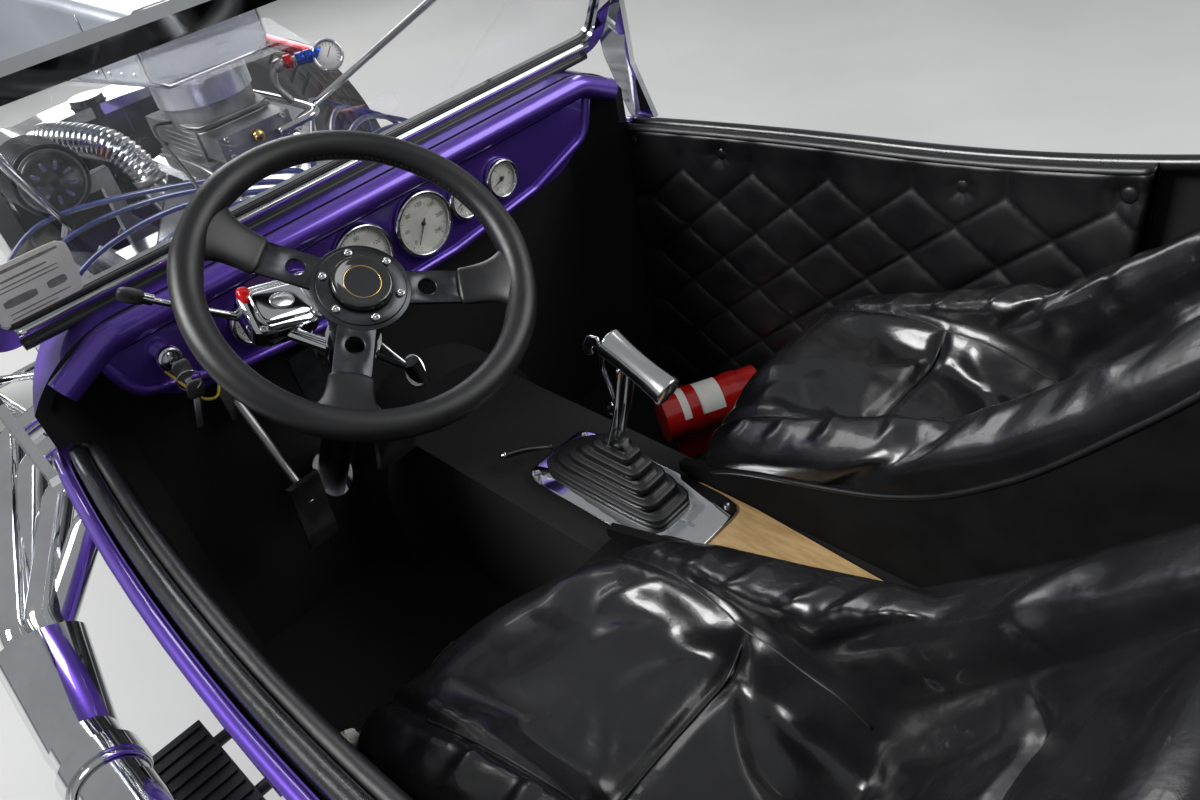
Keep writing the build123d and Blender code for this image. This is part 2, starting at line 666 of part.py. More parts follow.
def dash_panel():
    """The dash: a rolled lip under the cowl's edge and a recessed board that hangs from it."""
    with BuildPart() as dash:
        with BuildSketch(cross_plane(DASH_X)) as board:
            with BuildLine():
                Line((-378, 866), (378, 866))
                ThreePointArc((378, 866), (352, 806), (250, 776))
                ThreePointArc((250, 776), (0, 754), (-250, 776))
                ThreePointArc((-250, 776), (-352, 806), (-378, 866))
            make_face()
        extrude(to_extrude=board.sketch, amount=-FIT + 4.5)
        lip = DASH_X - 4
        pipe([(lip, 430, 858), (lip, 368, 888), (lip, -368, 888), (lip, -430, 858)], 17, 60)
        lower = [(DASH_X, 384, 866), (DASH_X, 366, 812), (DASH_X, 250, 776), (DASH_X, 90, 758)]
        lower += [(DASH_X, -90, 758), (DASH_X, -250, 776), (DASH_X, -366, 812), (DASH_X, -384, 866)]
        pipe(lower, 7, 38)
        block((COWL_REAR_X - FIT, -480, 700), (0, 480, 960), Mode.SUBTRACT)
    keep("dash_panel", dash.part)


GAUGES = (  # place across the dash, radius
    (145.0, 29.0),
    (50.0, 46.0),
    (-50.0, 46.0),
    (-125.0, 29.0),
    (-193.0, 29.0),
    (215.0, 29.0),
)
GAUGE_DEPTH = 11.0


def gauges():
    """Round dials on the dash, each a ring round a sunk face."""
    with BuildPart() as dials:
        for y, radius in GAUGES:
            face = DASH_X - FIT
            bar((face, y, DASH_Z), (face - GAUGE_DEPTH, y, DASH_Z), radius)
        for y, radius in GAUGES:
            bar((face - 4, y, DASH_Z), (face - GAUGE_DEPTH - 1, y, DASH_Z), radius - 5, Mode.SUBTRACT)
    keep("gauges", dials.part)


def screen_plane():
    """The windscreen's own plane: its first direction is +Y, its second runs up the leaning frame."""
    normal = (cos(radians(SCREEN_LEAN)), 0, sin(radians(SCREEN_LEAN)))
    return Plane(origin=(SCREEN_FOOT[0], 0, SCREEN_FOOT[1]), x_dir=(0, 1, 0), z_dir=normal)


STANCHION_T = 10.0
STANCHION = (  # x, z of the plate beside the cowl, from its rear low corner
    (-240, 798),
    (-206, 880),
    (-202, 992),
    (-170, 996),
    (-146, 935),
    (-150, 888),
    (-186, 800),
    (-212, 772),
)
BRACE_FOOT = {1: (432, 227, 781), -1: (432, -227, 781)}


def windscreen_frame():
    """A low chopped frame on curved plates at the cowl's sides, and its thin braces to the engine."""
    low = SCREEN_BAR / 2
    with BuildPart() as screen:
        with BuildSketch(screen_plane()) as ring:
            with Locations((0, SCREEN_H / 2 - low)):
                RectangleRounded(SCREEN_W, SCREEN_H, 34)
                inner_w, inner_h = SCREEN_W - 2 * SCREEN_BAR, SCREEN_H - 2 * SCREEN_BAR
                RectangleRounded(inner_w, inner_h, 18, mode=Mode.SUBTRACT)
        extrude(to_extrude=ring.sketch, amount=SCREEN_T / 2, both=True)
        with BuildSketch(screen_plane()) as slot:
            with Locations((0, SCREEN_H / 2 - low)):
                RectangleRounded(SCREEN_W - 26, SCREEN_H - 26, 22)
        extrude(to_extrude=slot.sketch, amount=GLASS_T / 2 + FIT, both=True, mode=Mode.SUBTRACT)
        cowl_side = ((FIREWALL_X, COWL_CORNER_Y), COWL_MID, SIDE_FRONT)
        seat = arc_at(cowl_side, STANCHION[0][0]) + FIT
        for side in (1, -1):
            slab(side_plane(max(side * seat, side * (seat + STANCHION_T))), STANCHION, STANCHION_T)
            pin = screen_plane().from_local_coords((0, 60, 0))
            bar((pin.X, side * (SCREEN_W / 2 - 2), pin.Z), (pin.X, side * (seat + 4), pin.Z), 8)
        top = screen_plane().from_local_coords((0, SCREEN_H - 18, SCREEN_T / 2 - 2))
        for side in (1, -1):
            foot = (432, side * 214, 794)
            bar(foot, (top.X, side * 400, top.Z), 6)
            bar((432, side * 214, 800), BRACE_FOOT[side], 9)
    keep("windscreen_frame", screen.part)


def windscreen_glass():
    low = SCREEN_BAR / 2
    with BuildPart() as pane:
        with BuildSketch(screen_plane()) as outline:
            with Locations((0, SCREEN_H / 2 - low)):
                RectangleRounded(SCREEN_W - 26 - 2 * FIT, SCREEN_H - 26 - 2 * FIT, 22 - FIT)
        extrude(to_extrude=outline.sketch, amount=GLASS_T / 2, both=True)
    keep("windscreen_glass", pane.part)


def console():
    """The tan board along the tunnel's top, from under the shift plate back between the seats."""
    z = TUNNEL_TOP + FIT
    half = ((-446, 50), (-600, 50), (-640, 62), (-720, 62), (-1010, 42))
    outline = [*half, *[(x, -y) for x, y in reversed(half)]]
    with BuildPart() as board:
        slab(Plane.XY.offset(z), outline, CONSOLE_T)
    keep("console", board.part)


CONSOLE_T = 6.0
SHIFT_FRONT = -436.0
SHIFT_LENGTH = 270.0
SHIFT_WIDTH = 116.0
SHIFT_PLATE_T = 3.0
BOOT_TIERS = 5


def shifter():
    """The shift plate with its stepped boot, the stick and the T-shaped handle."""
    z = TUNNEL_TOP + FIT + CONSOLE_T + FIT
    middle = SHIFT_FRONT - SHIFT_LENGTH / 2
    with BuildPart() as lever:
        with BuildSketch(Plane.XY.offset(z)) as plate:
            with Locations((middle, 0)):
                RectangleRounded(SHIFT_LENGTH, SHIFT_WIDTH, 18)
        extrude(to_extrude=plate.sketch, amount=SHIFT_PLATE_T)
        for tier in range(BOOT_TIERS):
            share = tier / (BOOT_TIERS - 1)
            low = z + SHIFT_PLATE_T + tier * 15.0
            with Locations((-550 - 16 * share, 0, low + 7.5)):
                Box(200 - 140 * share, 72 - 42 * share, 11)
            with Locations((-550 - 16 * share, 0, low + 7.5)):
                Box(190 - 140 * share, 62 - 42 * share, 15)
        bar((-566, 0, z + 60), (-612, 0, 772), 9)
        bar((-592, 0, 790), (-664, 0, 757), 17)
        bar((-584, 10, 715), (-588, 12, 780), 5)
    keep("shifter", lever.part)


def wheel_plane(turn=0.0):
    """The steering wheel's plane at its hub's face: up the wheel is its second direction."""
    lean = (-COLUMN_DOWN.X, 0, -COLUMN_DOWN.Z)
    first = Vector(0, -1, 0).rotate(Axis((0, 0, 0), lean), turn)
    return Plane(origin=(HUB_X, HUB_Y, HUB_Z), x_dir=(first.X, first.Y, first.Z), z_dir=lean)


def steering_wheel():
    """A dished three-spoke wheel: a round rim, flat pierced spokes, the hub's boss and the button."""
    flat = wheel_plane()
    with BuildPart() as wheel:
        centre = flat.from_local_coords((0, 0, WHEEL_DISH))
        with Locations(Plane(origin=centre, z_dir=flat.z_dir)):
            Torus(GRIP_CIRCLE_R, GRIP_R)
        with BuildSketch(flat) as disc:
            Circle(50)
        extrude(to_extrude=disc.sketch, amount=SPOKE_T)
        for angle in SPOKE_ANGLES:
            plane = wheel_plane(angle + WHEEL_TURN)
            section = Plane(
                origin=plane.from_local_coords((0, SPOKE_W / 2, 0)),
                x_dir=plane.x_dir,
                z_dir=plane.y_dir * -1,
            )
            rise = WHEEL_DISH
            profile = ((20, 0), (104, 0), (152, rise - 4), (152, rise + 3), (102, SPOKE_T), (20, SPOKE_T))
            with BuildSketch(section) as spoke:
                with BuildLine():
                    Polyline(*[(u, v) for u, v in profile], close=True)
                make_face()
            extrude(to_extrude=spoke.sketch, amount=SPOKE_W)
            hole = plane.from_local_coords((65, 0, 0))
            with Locations(Plane(origin=hole, z_dir=plane.z_dir)):
                Cylinder(9, 20, mode=Mode.SUBTRACT)
        tip = flat.from_local_coords((0, 0, SPOKE_T + 14))
        bar((HUB_X, HUB_Y, HUB_Z), (tip.X, tip.Y, tip.Z), 30)
        cone(on_column(0), on_column(58), 46, 30)
    keep("steering_wheel", wheel.part)


BOX_TOP = 300.0


def steering_column():
    """The column's tube and its hold under the dash, the shaft past the engine, the steering box."""
    start = 58 + 1.0
    with BuildPart() as column:
        bar(on_column(start), on_column(COLUMN_END - 10), COLUMN_R)
        bar(on_column(start), on_column(start + 26), COLUMN_R + 5)
        hold = on_column(286)
        block((DASH_X - 3, HUB_Y - 18, hold[2] - 2), (DASH_X + 3, HUB_Y + 18, 749))
        block((hold[0] - 40, HUB_Y - 18, hold[2] - 6), (DASH_X + 3, HUB_Y + 18, hold[2] + 4))
        bar(on_column(150, -12, 8), (-330, 104, 726), 4)
        bar((-334, 102, 736), (-336, 98, 702), 11)
        bar(on_column(COLUMN_END - 30), (PITMAN_X - 50, PITMAN_Y, 262), 11)
        bar(on_column(COLUMN_END - 12), on_column(COLUMN_END + 8), 19)
        block((PITMAN_X - 55, PITMAN_Y - 30, 220), (PITMAN_X + 35, PITMAN_Y + 26, BOX_TOP))
        block((PITMAN_X - 35, PITMAN_Y + 20, 235), (PITMAN_X + 30, RAIL_Y - RAIL_W / 2 - FIT, 285))
        bar((PITMAN_X, PITMAN_Y, BOX_TOP - 5), (PITMAN_X, PITMAN_Y, ARM_Z + EAR_T / 2 + 8), 8)
    keep("steering_column", column.part)


def signal_switch():
    """The turn-signal switch clamped to the column, and the key switch in the dash with its key."""
    with BuildPart() as switch:
        bar(on_column(100), on_column(126), COLUMN_R + 8)
        bar(on_column(90), on_column(136), COLUMN_R + FIT, Mode.SUBTRACT)
        near = on_column(113, 24, 11)
        box_at = Vector(-300, 231, 856)
        slab(side_plane(box_at.Y + 18), ((-330, 850), (-282, 838), (-272, 866), (-318, 880)), 34)
        bar(near, (-306, 231, 858), 8)
        bar(on_column(90), on_column(136), COLUMN_R + FIT, Mode.SUBTRACT)
        bar((-286, 240, 862), (-258, 330, 938), 3.5)
        bar((-262, 318, 928), (-257, 334, 942), 6)
        bar((DASH_X - FIT, 321, 838), (DASH_X - 14, 321, 838), 13)
        bar((DASH_X - 12, 321, 838), (DASH_X - 34, 321, 834), 4)
    keep("signal_switch", switch.part)


PEDALS = (  # across, front edge, height, half width, half height
    (132.0, -292.0, 600.0, 30.0, 38.0),
    (262.0, -262.0, 560.0, 22.0, 62.0),
)


def pedals():
    """The brake and accelerator pedals on arms from the firewall."""
    front = FIREWALL_X - WALL - FIT
    with BuildPart() as set_:
        for y, x, z, half_y, half_z in PEDALS:
            pad = ((x, z + half_z), (x + 10, z + half_z), (x + 40, z - half_z), (x + 30, z - half_z))
            slab(side_plane(y + half_y), pad, 2 * half_y)
            bar((x + 14, y, z + 20), (front - 20, y, 716), 7)
            block((front - 30, y - 16, 690), (front, y + 16, 742))
    keep("pedals", set_.part)


BOTTLE_R = 39.0
BOTTLE_Z = 400.0
BOTTLE_FOOT = (-375.0, -262.0)
BOTTLE_END = (-456.0, -406.0)


def extinguisher():
    """A small bottle strapped on its saddle on the floor, ahead of the passenger's seat."""
    with BuildPart() as bottle:
        start, end = Vector(*BOTTLE_FOOT, BOTTLE_Z), Vector(*BOTTLE_END, BOTTLE_Z)
        along = (end - start).normalized()
        neck, tip = end + along * 10, end + along * 24
        bar((start.X, start.Y, start.Z), (end.X, end.Y, end.Z), BOTTLE_R)
        cone((end.X, end.Y, end.Z), (neck.X, neck.Y, neck.Z), BOTTLE_R, 18)
        bar((end.X, end.Y, end.Z), (tip.X, tip.Y, tip.Z), 12)
        for share in (0.3, 0.75):
            near, far = start + along * (share * 165 - 9), start + along * (share * 165 + 9)
            bar(tuple(near), tuple(far), BOTTLE_R + 2)
        middle = (start + end) / 2
        saddle_middle = (middle.X, middle.Y, (SEAT_LOW + BOTTLE_Z) / 2)
        with Locations(Plane(origin=saddle_middle, x_dir=(along.X, along.Y, 0))):
            Box(120, 30, BOTTLE_Z - SEAT_LOW)
    keep("extinguisher", bottle.part)


def on_bank(side, lateral, height):
    """(y, z) of a point given across and up a bank of cylinders."""
    tilt = 0.5**0.5
    return side * (lateral + height) * tilt, CRANK_Z + (height - lateral) * tilt


def engine_block():
    """The vee block with its pan, clutch housing and gearbox, as one plain casting."""
    rear, front = ENGINE_X - HEAD_LENGTH / 2, ENGINE_X + HEAD_LENGTH / 2
    right = [on_bank(1, DECK_HALF, DECK), (140, CRANK_Z + 10), (140, 385), (110, 375), (110, 262)]
    left = [(-y, z) for y, z in reversed(right)]
    valley_y, valley_z = on_bank(1, -DECK_HALF, DECK)
    outline = [*right, *left, (-valley_y, valley_z), (-60, VALLEY_Z), (60, VALLEY_Z), (valley_y, valley_z)]
    with BuildPart() as engine:
        slab(cross_plane(rear), outline, front - rear)
        bar((rear - 78, 0, CRANK_Z), (rear + 2, 0, CRANK_Z), BELL_R)
        cone((rear - 150, 0, CRANK_Z), (rear - 78, 0, CRANK_Z), GEARBOX_R, BELL_R)
        bar((-640, 0, CRANK_Z), (rear - 150, 0, CRANK_Z), GEARBOX_R)
        cone((GEARBOX_END, 0, CRANK_Z), (-640, 0, CRANK_Z), 46, 70)
    keep("engine_block", engine.part)


def cylinder_heads():
    """A head on each bank, its ports on the outer side."""
    with BuildPart() as heads:
        for side in (1, -1):
            low, high = DECK + FIT, DECK + FIT + HEAD_H
            shoulder = ((DECK_HALF - 8, high - 30), (DECK_HALF - 19, high))
            corners = ((-DECK_HALF, low), (DECK_HALF, low), *shoulder, (-DECK_HALF, high))
            outline = [on_bank(side, u, v) for u, v in corners]
            slab(cross_plane(ENGINE_X - HEAD_LENGTH / 2), outline, HEAD_LENGTH)
    keep("cylinder_heads", heads.part)


def valve_covers():
    """A finned cover on each head."""
    with BuildPart() as covers:
        for side in (1, -1):
            low = DECK + 2 * FIT + HEAD_H
            top = low + COVER_H
            corners = ((-62, low), (52, low), (50, low + 14), (40, top), (-48, top), (-60, low + 14))
            outline = [on_bank(side, u, v) for u, v in corners]
            slab(cross_plane(ENGINE_X - COVER_LENGTH / 2), outline, COVER_LENGTH)
            for fin in range(COVER_FINS):
                u = -40 + fin * 18
                corners = ((u, top - 2), (u + 5, top - 2), (u + 5, top + 6), (u, top + 6))
                outline = [on_bank(side, across, up) for across, up in corners]
                slab(cross_plane(ENGINE_X - FIN_LENGTH / 2), outline, FIN_LENGTH)
    keep("valve_covers", covers.part)


def intake():
    """The tall intake between the heads, up to the carburettor's flange."""
    edge = FIT * 1.5
    inner_y, inner_z = on_bank(1, -DECK_HALF, DECK)
    outer_y, outer_z = on_bank(1, -DECK_HALF, DECK + HEAD_H - 8)
    with BuildPart() as manifold:
        right = ((inner_y - edge, inner_z), (outer_y - edge, outer_z))
        left = [(-y, z) for y, z in reversed(right)]
        slab(cross_plane(ENGINE_X - INTAKE_LENGTH / 2), [*right, *left], INTAKE_LENGTH)
        with BuildSketch(Plane.XY.offset(outer_z - 2)) as base:
            with Locations((CARB_X, 0)):
                RectangleRounded(360, 250, 30)
        with BuildSketch(Plane.XY.offset(CARB_BASE - 16)) as neck:
            with Locations((CARB_X, 0)):
                RectangleRounded(190, 150, 24)
        loft(sections=[base.sketch, neck.sketch])
        with BuildSketch(Plane.XY.offset(CARB_BASE - 16)) as flange:
            with Locations((CARB_X, 0)):
                RectangleRounded(210, 170, 20)
        extrude(to_extrude=flange.sketch, amount=16)
        bar((ENGINE_X + 190, 30, 700), (ENGINE_X + 224, 60, 800), 27)
    keep("intake", manifold.part)


def carburettor():
    """The four-barrel carburettor: throttle plate, main body, a fuel bowl at each end, the air horn."""
    z = CARB_BASE + FIT
    with BuildPart() as carb:
        block((CARB_X - 84, -70, z), (CARB_X + 84, 70, z + 14))
        block((CARB_X - 62, -62, z + 14), (CARB_X + 62, 62, z + 60))
        for side in (1, -1):
            low, high = sorted((side * 62, side * 122))
            block((CARB_X + low, -58, z + 20), (CARB_X + high, 58, z + 56))
        bar((CARB_X, 0, z + 58), (CARB_X, 0, CARB_TOP), 66)
        for dx in (24, -24):
            for dy in (24, -24):
                bar((CARB_X + dx, dy, z + 20), (CARB_X + dx, dy, CARB_TOP + 5), 19, Mode.SUBTRACT)
    keep("carburettor", carb.part)


def air_scoop():
    """The hollow scoop: it widens and deepens forward from a low square tail to a tall mouth."""
    tail = (SCOOP_REAR_X, 90.0, 98.0)  # place, half width, height
    mouth = (SCOOP_FRONT_X, 178.0, 172.0)
    wall = SCOOP_WALL

    def section(x, half, height, lift):
        with BuildSketch(cross_plane(x)) as outline:
            with Locations((0, SCOOP_Z + lift + height / 2)):
                RectangleRounded(2 * half, height, 16)
        return outline.sketch

    with BuildPart() as hollow:
        back = section(tail[0] + wall, tail[1] - wall, tail[2] - 2 * wall, wall)
        slope = (mouth[1] - tail[1]) / (mouth[0] - tail[0])
        reach = 20.0
        front = section(mouth[0] + reach, mouth[1] - wall + slope * reach, mouth[2] - 2 * wall + 3, wall)
        loft(sections=[back, front], ruled=True)
    with BuildPart() as scoop:
        loft(sections=[section(*tail, 0), section(*mouth, 0)], ruled=True)
        add(hollow.part, mode=Mode.SUBTRACT)
        bar((CARB_X, 0, CARB_TOP + FIT), (CARB_X, 0, SCOOP_Z + 2), 70)
        bar((CARB_X, 0, CARB_TOP), (CARB_X, 0, SCOOP_Z + wall + 2), 63 + FIT, Mode.SUBTRACT)
    keep("air_scoop", scoop.part)


PORTS = (-168.0, -56.0, 56.0, 168.0)  # along the head, from its middle
CAP_X = ENGINE_X - HEAD_LENGTH / 2 + 22
VALLEY_Z = 585.0


def engine_drives():
    """Water pump, pulleys, fan, distributor, alternator and the finned pump on the engine."""
    face = ENGINE_X + HEAD_LENGTH / 2 + FIT
    with BuildPart() as drive:
        block((face, -120, 500), (face + 40, 120, 590))
        bar((face + 30, 0, PUMP_Z), (face + 90, 0, PUMP_Z), 26)
        bar((face + 50, 0, PUMP_Z), (face + 78, 0, PUMP_Z), PULLEY_R)
        bar((face, 0, CRANK_Z), (face + 78, 0, CRANK_Z), 30)
        bar((face + 50, 0, CRANK_Z), (face + 78, 0, CRANK_Z), 26)
        bar((face + 88, 0, PUMP_Z), (face + 104, 0, PUMP_Z), 45)
        for blade in range(FAN_BLADES):
            turn = radians(blade * 360.0 / FAN_BLADES)
            plane = Plane(origin=(face + 96, 0, PUMP_Z), x_dir=(0, cos(turn), sin(turn)), z_dir=(1, 0, 0))
            slab(plane, ((38, -22), (FAN_R, -34), (FAN_R + 6, 10), (38, 22)), 3)
        block((face, 110, 560), (face + 22, 132, 850))
        bar((face - 70, 212, 884), (face + 30, 212, 884), 50)
        block((face, 112, 822), (face + 22, 190, 850))
        bar((CAP_X, 0, VALLEY_Z + FIT), (CAP_X, 0, CAP_LOW + 10), 18)
        bar((CAP_X, 0, CAP_LOW), (CAP_X, 0, CAP_LOW + 26), CAP_R)
        cone((CAP_X, 0, CAP_LOW + 26), (CAP_X, 0, CAP_TOP), CAP_R, CAP_R - 12)
        bar((CAP_X, 0, CAP_TOP), (CAP_X, 0, TOWER_TOP), 9)
        for index in range(2 * len(PORTS)):
            turn = radians(index * 180.0 / len(PORTS))
            x, y = CAP_X + TOWER_RING_R * cos(turn), TOWER_RING_R * sin(turn)
            bar((x, y, CAP_TOP - 6), (x, y, TOWER_TOP), TOWER_R)
    keep("engine_drives", drive.part)


def headers():
    """Four primary tubes a side into a collector, and the side pipe under the door."""
    with BuildPart() as pipes:
        for index, port in enumerate(PORTS):
            x = ENGINE_X + port
            y, z = on_bank(1, DECK_HALF + FIT - 6, DECK + 60)
            high = index % 2
            inlet_y, inlet_z = 598 + 16 * (1 if index > 1 else -1), 492 + 15 * (1 if high else -1)
            path = [
                (x, y + 8, z - 8),
                (x, y + 70, z - 34),
                (x - 6, 470, 552),
                (-30, inlet_y, inlet_z),
                (-70, inlet_y + 4, inlet_z - 22),
            ]
            pipe(path, PRIMARY_R, 36)
        cone((PIPE_START_X, PIPE_Y, PIPE_Z), (-46, 602, 484), PIPE_R, PIPE_R + 12)
        with Locations((PIPE_START_X, PIPE_Y, PIPE_Z)):
            Sphere(PIPE_R)
        bar((PIPE_START_X, PIPE_Y, PIPE_Z), (PIPE_END_X, PIPE_Y, PIPE_Z), PIPE_R - 2)
        bar((PIPE_START_X - 60, PIPE_Y, PIPE_Z), (PIPE_START_X - 92, PIPE_Y, PIPE_Z), PIPE_R + 6)
        bar((PIPE_START_X - 130, PIPE_Y, PIPE_Z), (PIPE_END_X, PIPE_Y, PIPE_Z), PIPE_R)
        far_end = (PIPE_END_X - 5, PIPE_Y, PIPE_Z)
        bar((PIPE_START_X - 240, PIPE_Y, PIPE_Z), far_end, PIPE_R - 4, Mode.SUBTRACT)
        bar((-560, RAIL_Y + RAIL_W / 2 + FIT, RAIL_Z), (-560, PIPE_Y, RAIL_Z), 9)
        bar((-560, PIPE_Y - 4, RAIL_Z - 11), (-560, PIPE_Y - 4, PIPE_Z - PIPE_R + 3), 11)
        mirror(about=Plane.XZ)
    keep("headers", pipes.part)


def step_pads():
    """Small ribbed steps on brackets from the frame, one a side."""
    with BuildPart() as steps:
        block((-330, 510, 268), (-130, 606, 280))
        for rib in range(9):
            x = -322 + rib * 22
            block((x, 514, 280), (x + 8, 602, 284))
        for x in (-290, -170):
            bar((x, RAIL_Y + RAIL_W / 2 + FIT, RAIL_Z), (x, 590, 260), 9)
        mirror(about=Plane.XZ)
    keep("step_pads", steps.part)


def radiator():
    """The radiator on the frame's cross-member, with the bright flexible hose to the engine's outlet."""
    low = RADIATOR_LOW
    with BuildPart() as core:
        block((RADIATOR_X - 24, -215, low + 50), (RADIATOR_X + 24, 215, 790))
        block((RADIATOR_X - 34, -225, low), (RADIATOR_X + 34, 225, low + 52))
        block((RADIATOR_X - 34, -225, 788), (RADIATOR_X + 34, 225, 850))
        bar((RADIATOR_X, 0, 848), (RADIATOR_X, 0, 886), 32)
        outlet = (RADIATOR_X - 30, 150, 822)
        path = [
            (ENGINE_X + 224.3, 60.3, 801),
            (ENGINE_X + 248, 81, 870),
            (ENGINE_X + 350, 150, 898),
            (RADIATOR_X - 130, 150, 858),
            outlet,
        ]
        pipe(path, 24, 44)
    keep("radiator", core.part)


def grille_shell():
    """The bright shell round the radiator, with its upright bars."""
    low = RADIATOR_LOW + 2
    with BuildPart() as shell:
        with BuildSketch(cross_plane(RADIATOR_X - 34)) as outline:
            with BuildLine():
                Line((-262, low), (262, low))
                Line((262, low), (262, 760))
                ThreePointArc((262, 760), (226, 846), (130, 866))
                ThreePointArc((130, 866), (0, 872), (-130, 866))
                ThreePointArc((-130, 866), (-226, 846), (-262, 760))
                Line((-262, 760), (-262, low))
            make_face()
        extrude(to_extrude=outline.sketch, amount=104)
        block((RADIATOR_X - 40, -225 - FIT, RAIL_Z), (RADIATOR_X + 48, 225 + FIT, 850 + FIT), Mode.SUBTRACT)
        block((RADIATOR_X + 40, -205, low + 40), (RADIATOR_X + 80, 205, 790), Mode.SUBTRACT)
        bar((RADIATOR_X, 0, 840), (RADIATOR_X, 0, 900), 35, Mode.SUBTRACT)
        for index in range(17):
            y = -192 + index * 24
            block((RADIATOR_X + 54, y - 3, low + 38), (RADIATOR_X + 60, y + 3, 792))
    keep("grille_shell", shell.part)


LAMP_X = 860.0
LAMP_Y = 372.0
LAMP_Z = 640.0
LAMP_R = 92.0


def lamps():
    """Round headlamps on posts from the rails, and the round tail lamps on the box."""
    x, y, z = LAMP_X, LAMP_Y, LAMP_Z
    with BuildPart() as lights:
        bar((x - 30, RAIL_Y, RAIL_TOP + FIT), (x - 30, RAIL_Y, 480), 12)
        bar((x - 30, RAIL_Y, 472), (x - 20, y, z - 80), 11)
        bar((x - 10, y, z), (x + 46, y, z), LAMP_R)
        cone((x - 110, y, z), (x - 10, y, z), 36, LAMP_R - 4)
        bar((x + 38, y, z), (x + 50, y, z), LAMP_R - 10, Mode.SUBTRACT)
        bar((BED_REAR - FIT, 380, 640), (BED_REAR - 26, 380, 640), 30)
        bar((BED_REAR - 20, 380, 640), (BED_REAR - 52, 380, 640), 44)
        mirror(about=Plane.XZ)
    keep("lamps", lights.part)


BED_FRONT = TUB_REAR_X - 15.0
BED_REAR = -1620.0
BED_Y = 462.0
BED_LOW = REAR_RAIL_TOP + FIT
BED_TOP = 800.0
BED_WALL = 8.0


def rear_bed():
    """A short open box on the frame behind the tub."""
    with BuildPart() as bed:
        block((BED_REAR, -BED_Y, BED_LOW), (BED_FRONT, BED_Y, BED_TOP))
        low_corner = (BED_REAR + BED_WALL, -BED_Y + BED_WALL, BED_LOW + BED_WALL)
        block(low_corner, (BED_FRONT - BED_WALL, BED_Y - BED_WALL, BED_TOP + 5), Mode.SUBTRACT)
        for y in (BED_Y, -BED_Y):
            bar((BED_REAR - 4, y, BED_TOP), (BED_FRONT, y, BED_TOP), 13)
        bar((BED_REAR, -BED_Y, BED_TOP), (BED_REAR, BED_Y, BED_TOP), 13)
        block((BED_REAR + 4, -BED_Y + 6, BED_LOW + 3), (BED_REAR + BED_WALL, BED_Y - 6, BED_TOP - 3))
    keep("rear_bed", bed.part)


# Seats: each outline lies in the XZ plane. Points near the front count from SEAT_FRONT, and points at the
# back from the foot, where the back cushion meets the seat cushion.
SHELF_Z = 562.0  # what the bolsters rest on, clear of the tunnel's board
SHELF_T = 8.0
BACK_RISE = ((-108.0, SHELF_Z), (-232.0, 925.0))  # front of the back's plate, from the foot
SEAT_ROOM = 20.0  # from the outside of the hollow base to its inside


def from_ends(foot, front_points, back_points):
    """An outline whose first points count from the seat's front and whose others count from the foot."""
    return [(SEAT_FRONT + x, z) for x, z in front_points] + [(foot + x, z) for x, z in back_points]


def back_plate(foot):
    """The points round the back's plate, from its front low corner to the base's rear low corner."""
    (low_x, low_z), (top_x, top_z) = BACK_RISE
    behind = SHELL_T + 1
    return [
        (foot + low_x, low_z),
        (foot + top_x, top_z),
        (foot + top_x - behind, top_z),
        (foot + low_x - behind, low_z),
        (foot + low_x - behind, SEAT_LOW),
    ]


def cheek_line(foot):
    """The top of the shell's cheeks, from the front to the top of the back's plate."""
    front = ((-4, 575), (-100, 606))
    back = ((68, 668), (-42, 746), (-132, 850), (-190, 928), (-245, 932))
    return from_ends(foot, front, back)


def seat_shell(side, foot):
    """One bucket: a hollow base, a plate up the back, shelves under the bolsters, a cheek on each side."""
    inner, outer = SEAT_Y - SEAT_HALF, SEAT_Y + SEAT_HALF
    wing = SHELL_T + BOLSTER_W
    base = TUNNEL_Y + 2
    plate = back_plate(foot)

    def across(low, high, outline, mode=Mode.ADD):
        slab(side_plane(max(side * low, side * high)), outline, high - low, mode=mode)

    rear_x = plate[-1][0]
    middle = [*from_ends(foot, ((-10, SEAT_LOW), (-12, 520)), ((-22, 486),)), *plate]
    under = [(SEAT_FRONT - 10, SEAT_LOW), (SEAT_FRONT - 10, SHELF_Z), *plate]
    core_front = ((-36, SEAT_LOW - 5), (-36, 520 - SEAT_ROOM))
    core_back = ((-27, 486 - SEAT_ROOM), (-109, 536))
    core = [*from_ends(foot, core_front, core_back), (foot - 109, SEAT_LOW - 5)]
    across(inner + wing, outer - wing, middle)
    across(outer - wing, outer, under)
    across(base, inner + wing, under)
    across(base + 10, outer - 10, core, Mode.SUBTRACT)
    across(inner, base + 1, plate[:4])
    shelf_front, under_shelf = SEAT_FRONT - 10, SHELF_Z - SHELF_T
    shelf = [(shelf_front, SHELF_Z), (rear_x, SHELF_Z), (rear_x, under_shelf), (shelf_front, under_shelf)]
    across(inner + 5, base + 5, shelf)
    line = cheek_line(foot)
    across(outer - SHELL_T, outer, [(SEAT_FRONT - 4, SEAT_LOW), *line, *plate[2:]])
    across(inner, inner + SHELL_T, [(SEAT_FRONT - 4, SHELF_Z), *line, *plate[2:4]])


def seat_shells():
    """The two buckets, trimmed where they come near the tub's corners."""
    with BuildPart() as shells:
        for side, ahead in SEAT_FEET:
            seat_shell(side, TUB_REAR_X + WALL + ahead)
        add(tub_form(TUB_BOTTOM + WALL, WALL + 1), mode=Mode.INTERSECT)
    keep("seat_shells", shells.part)


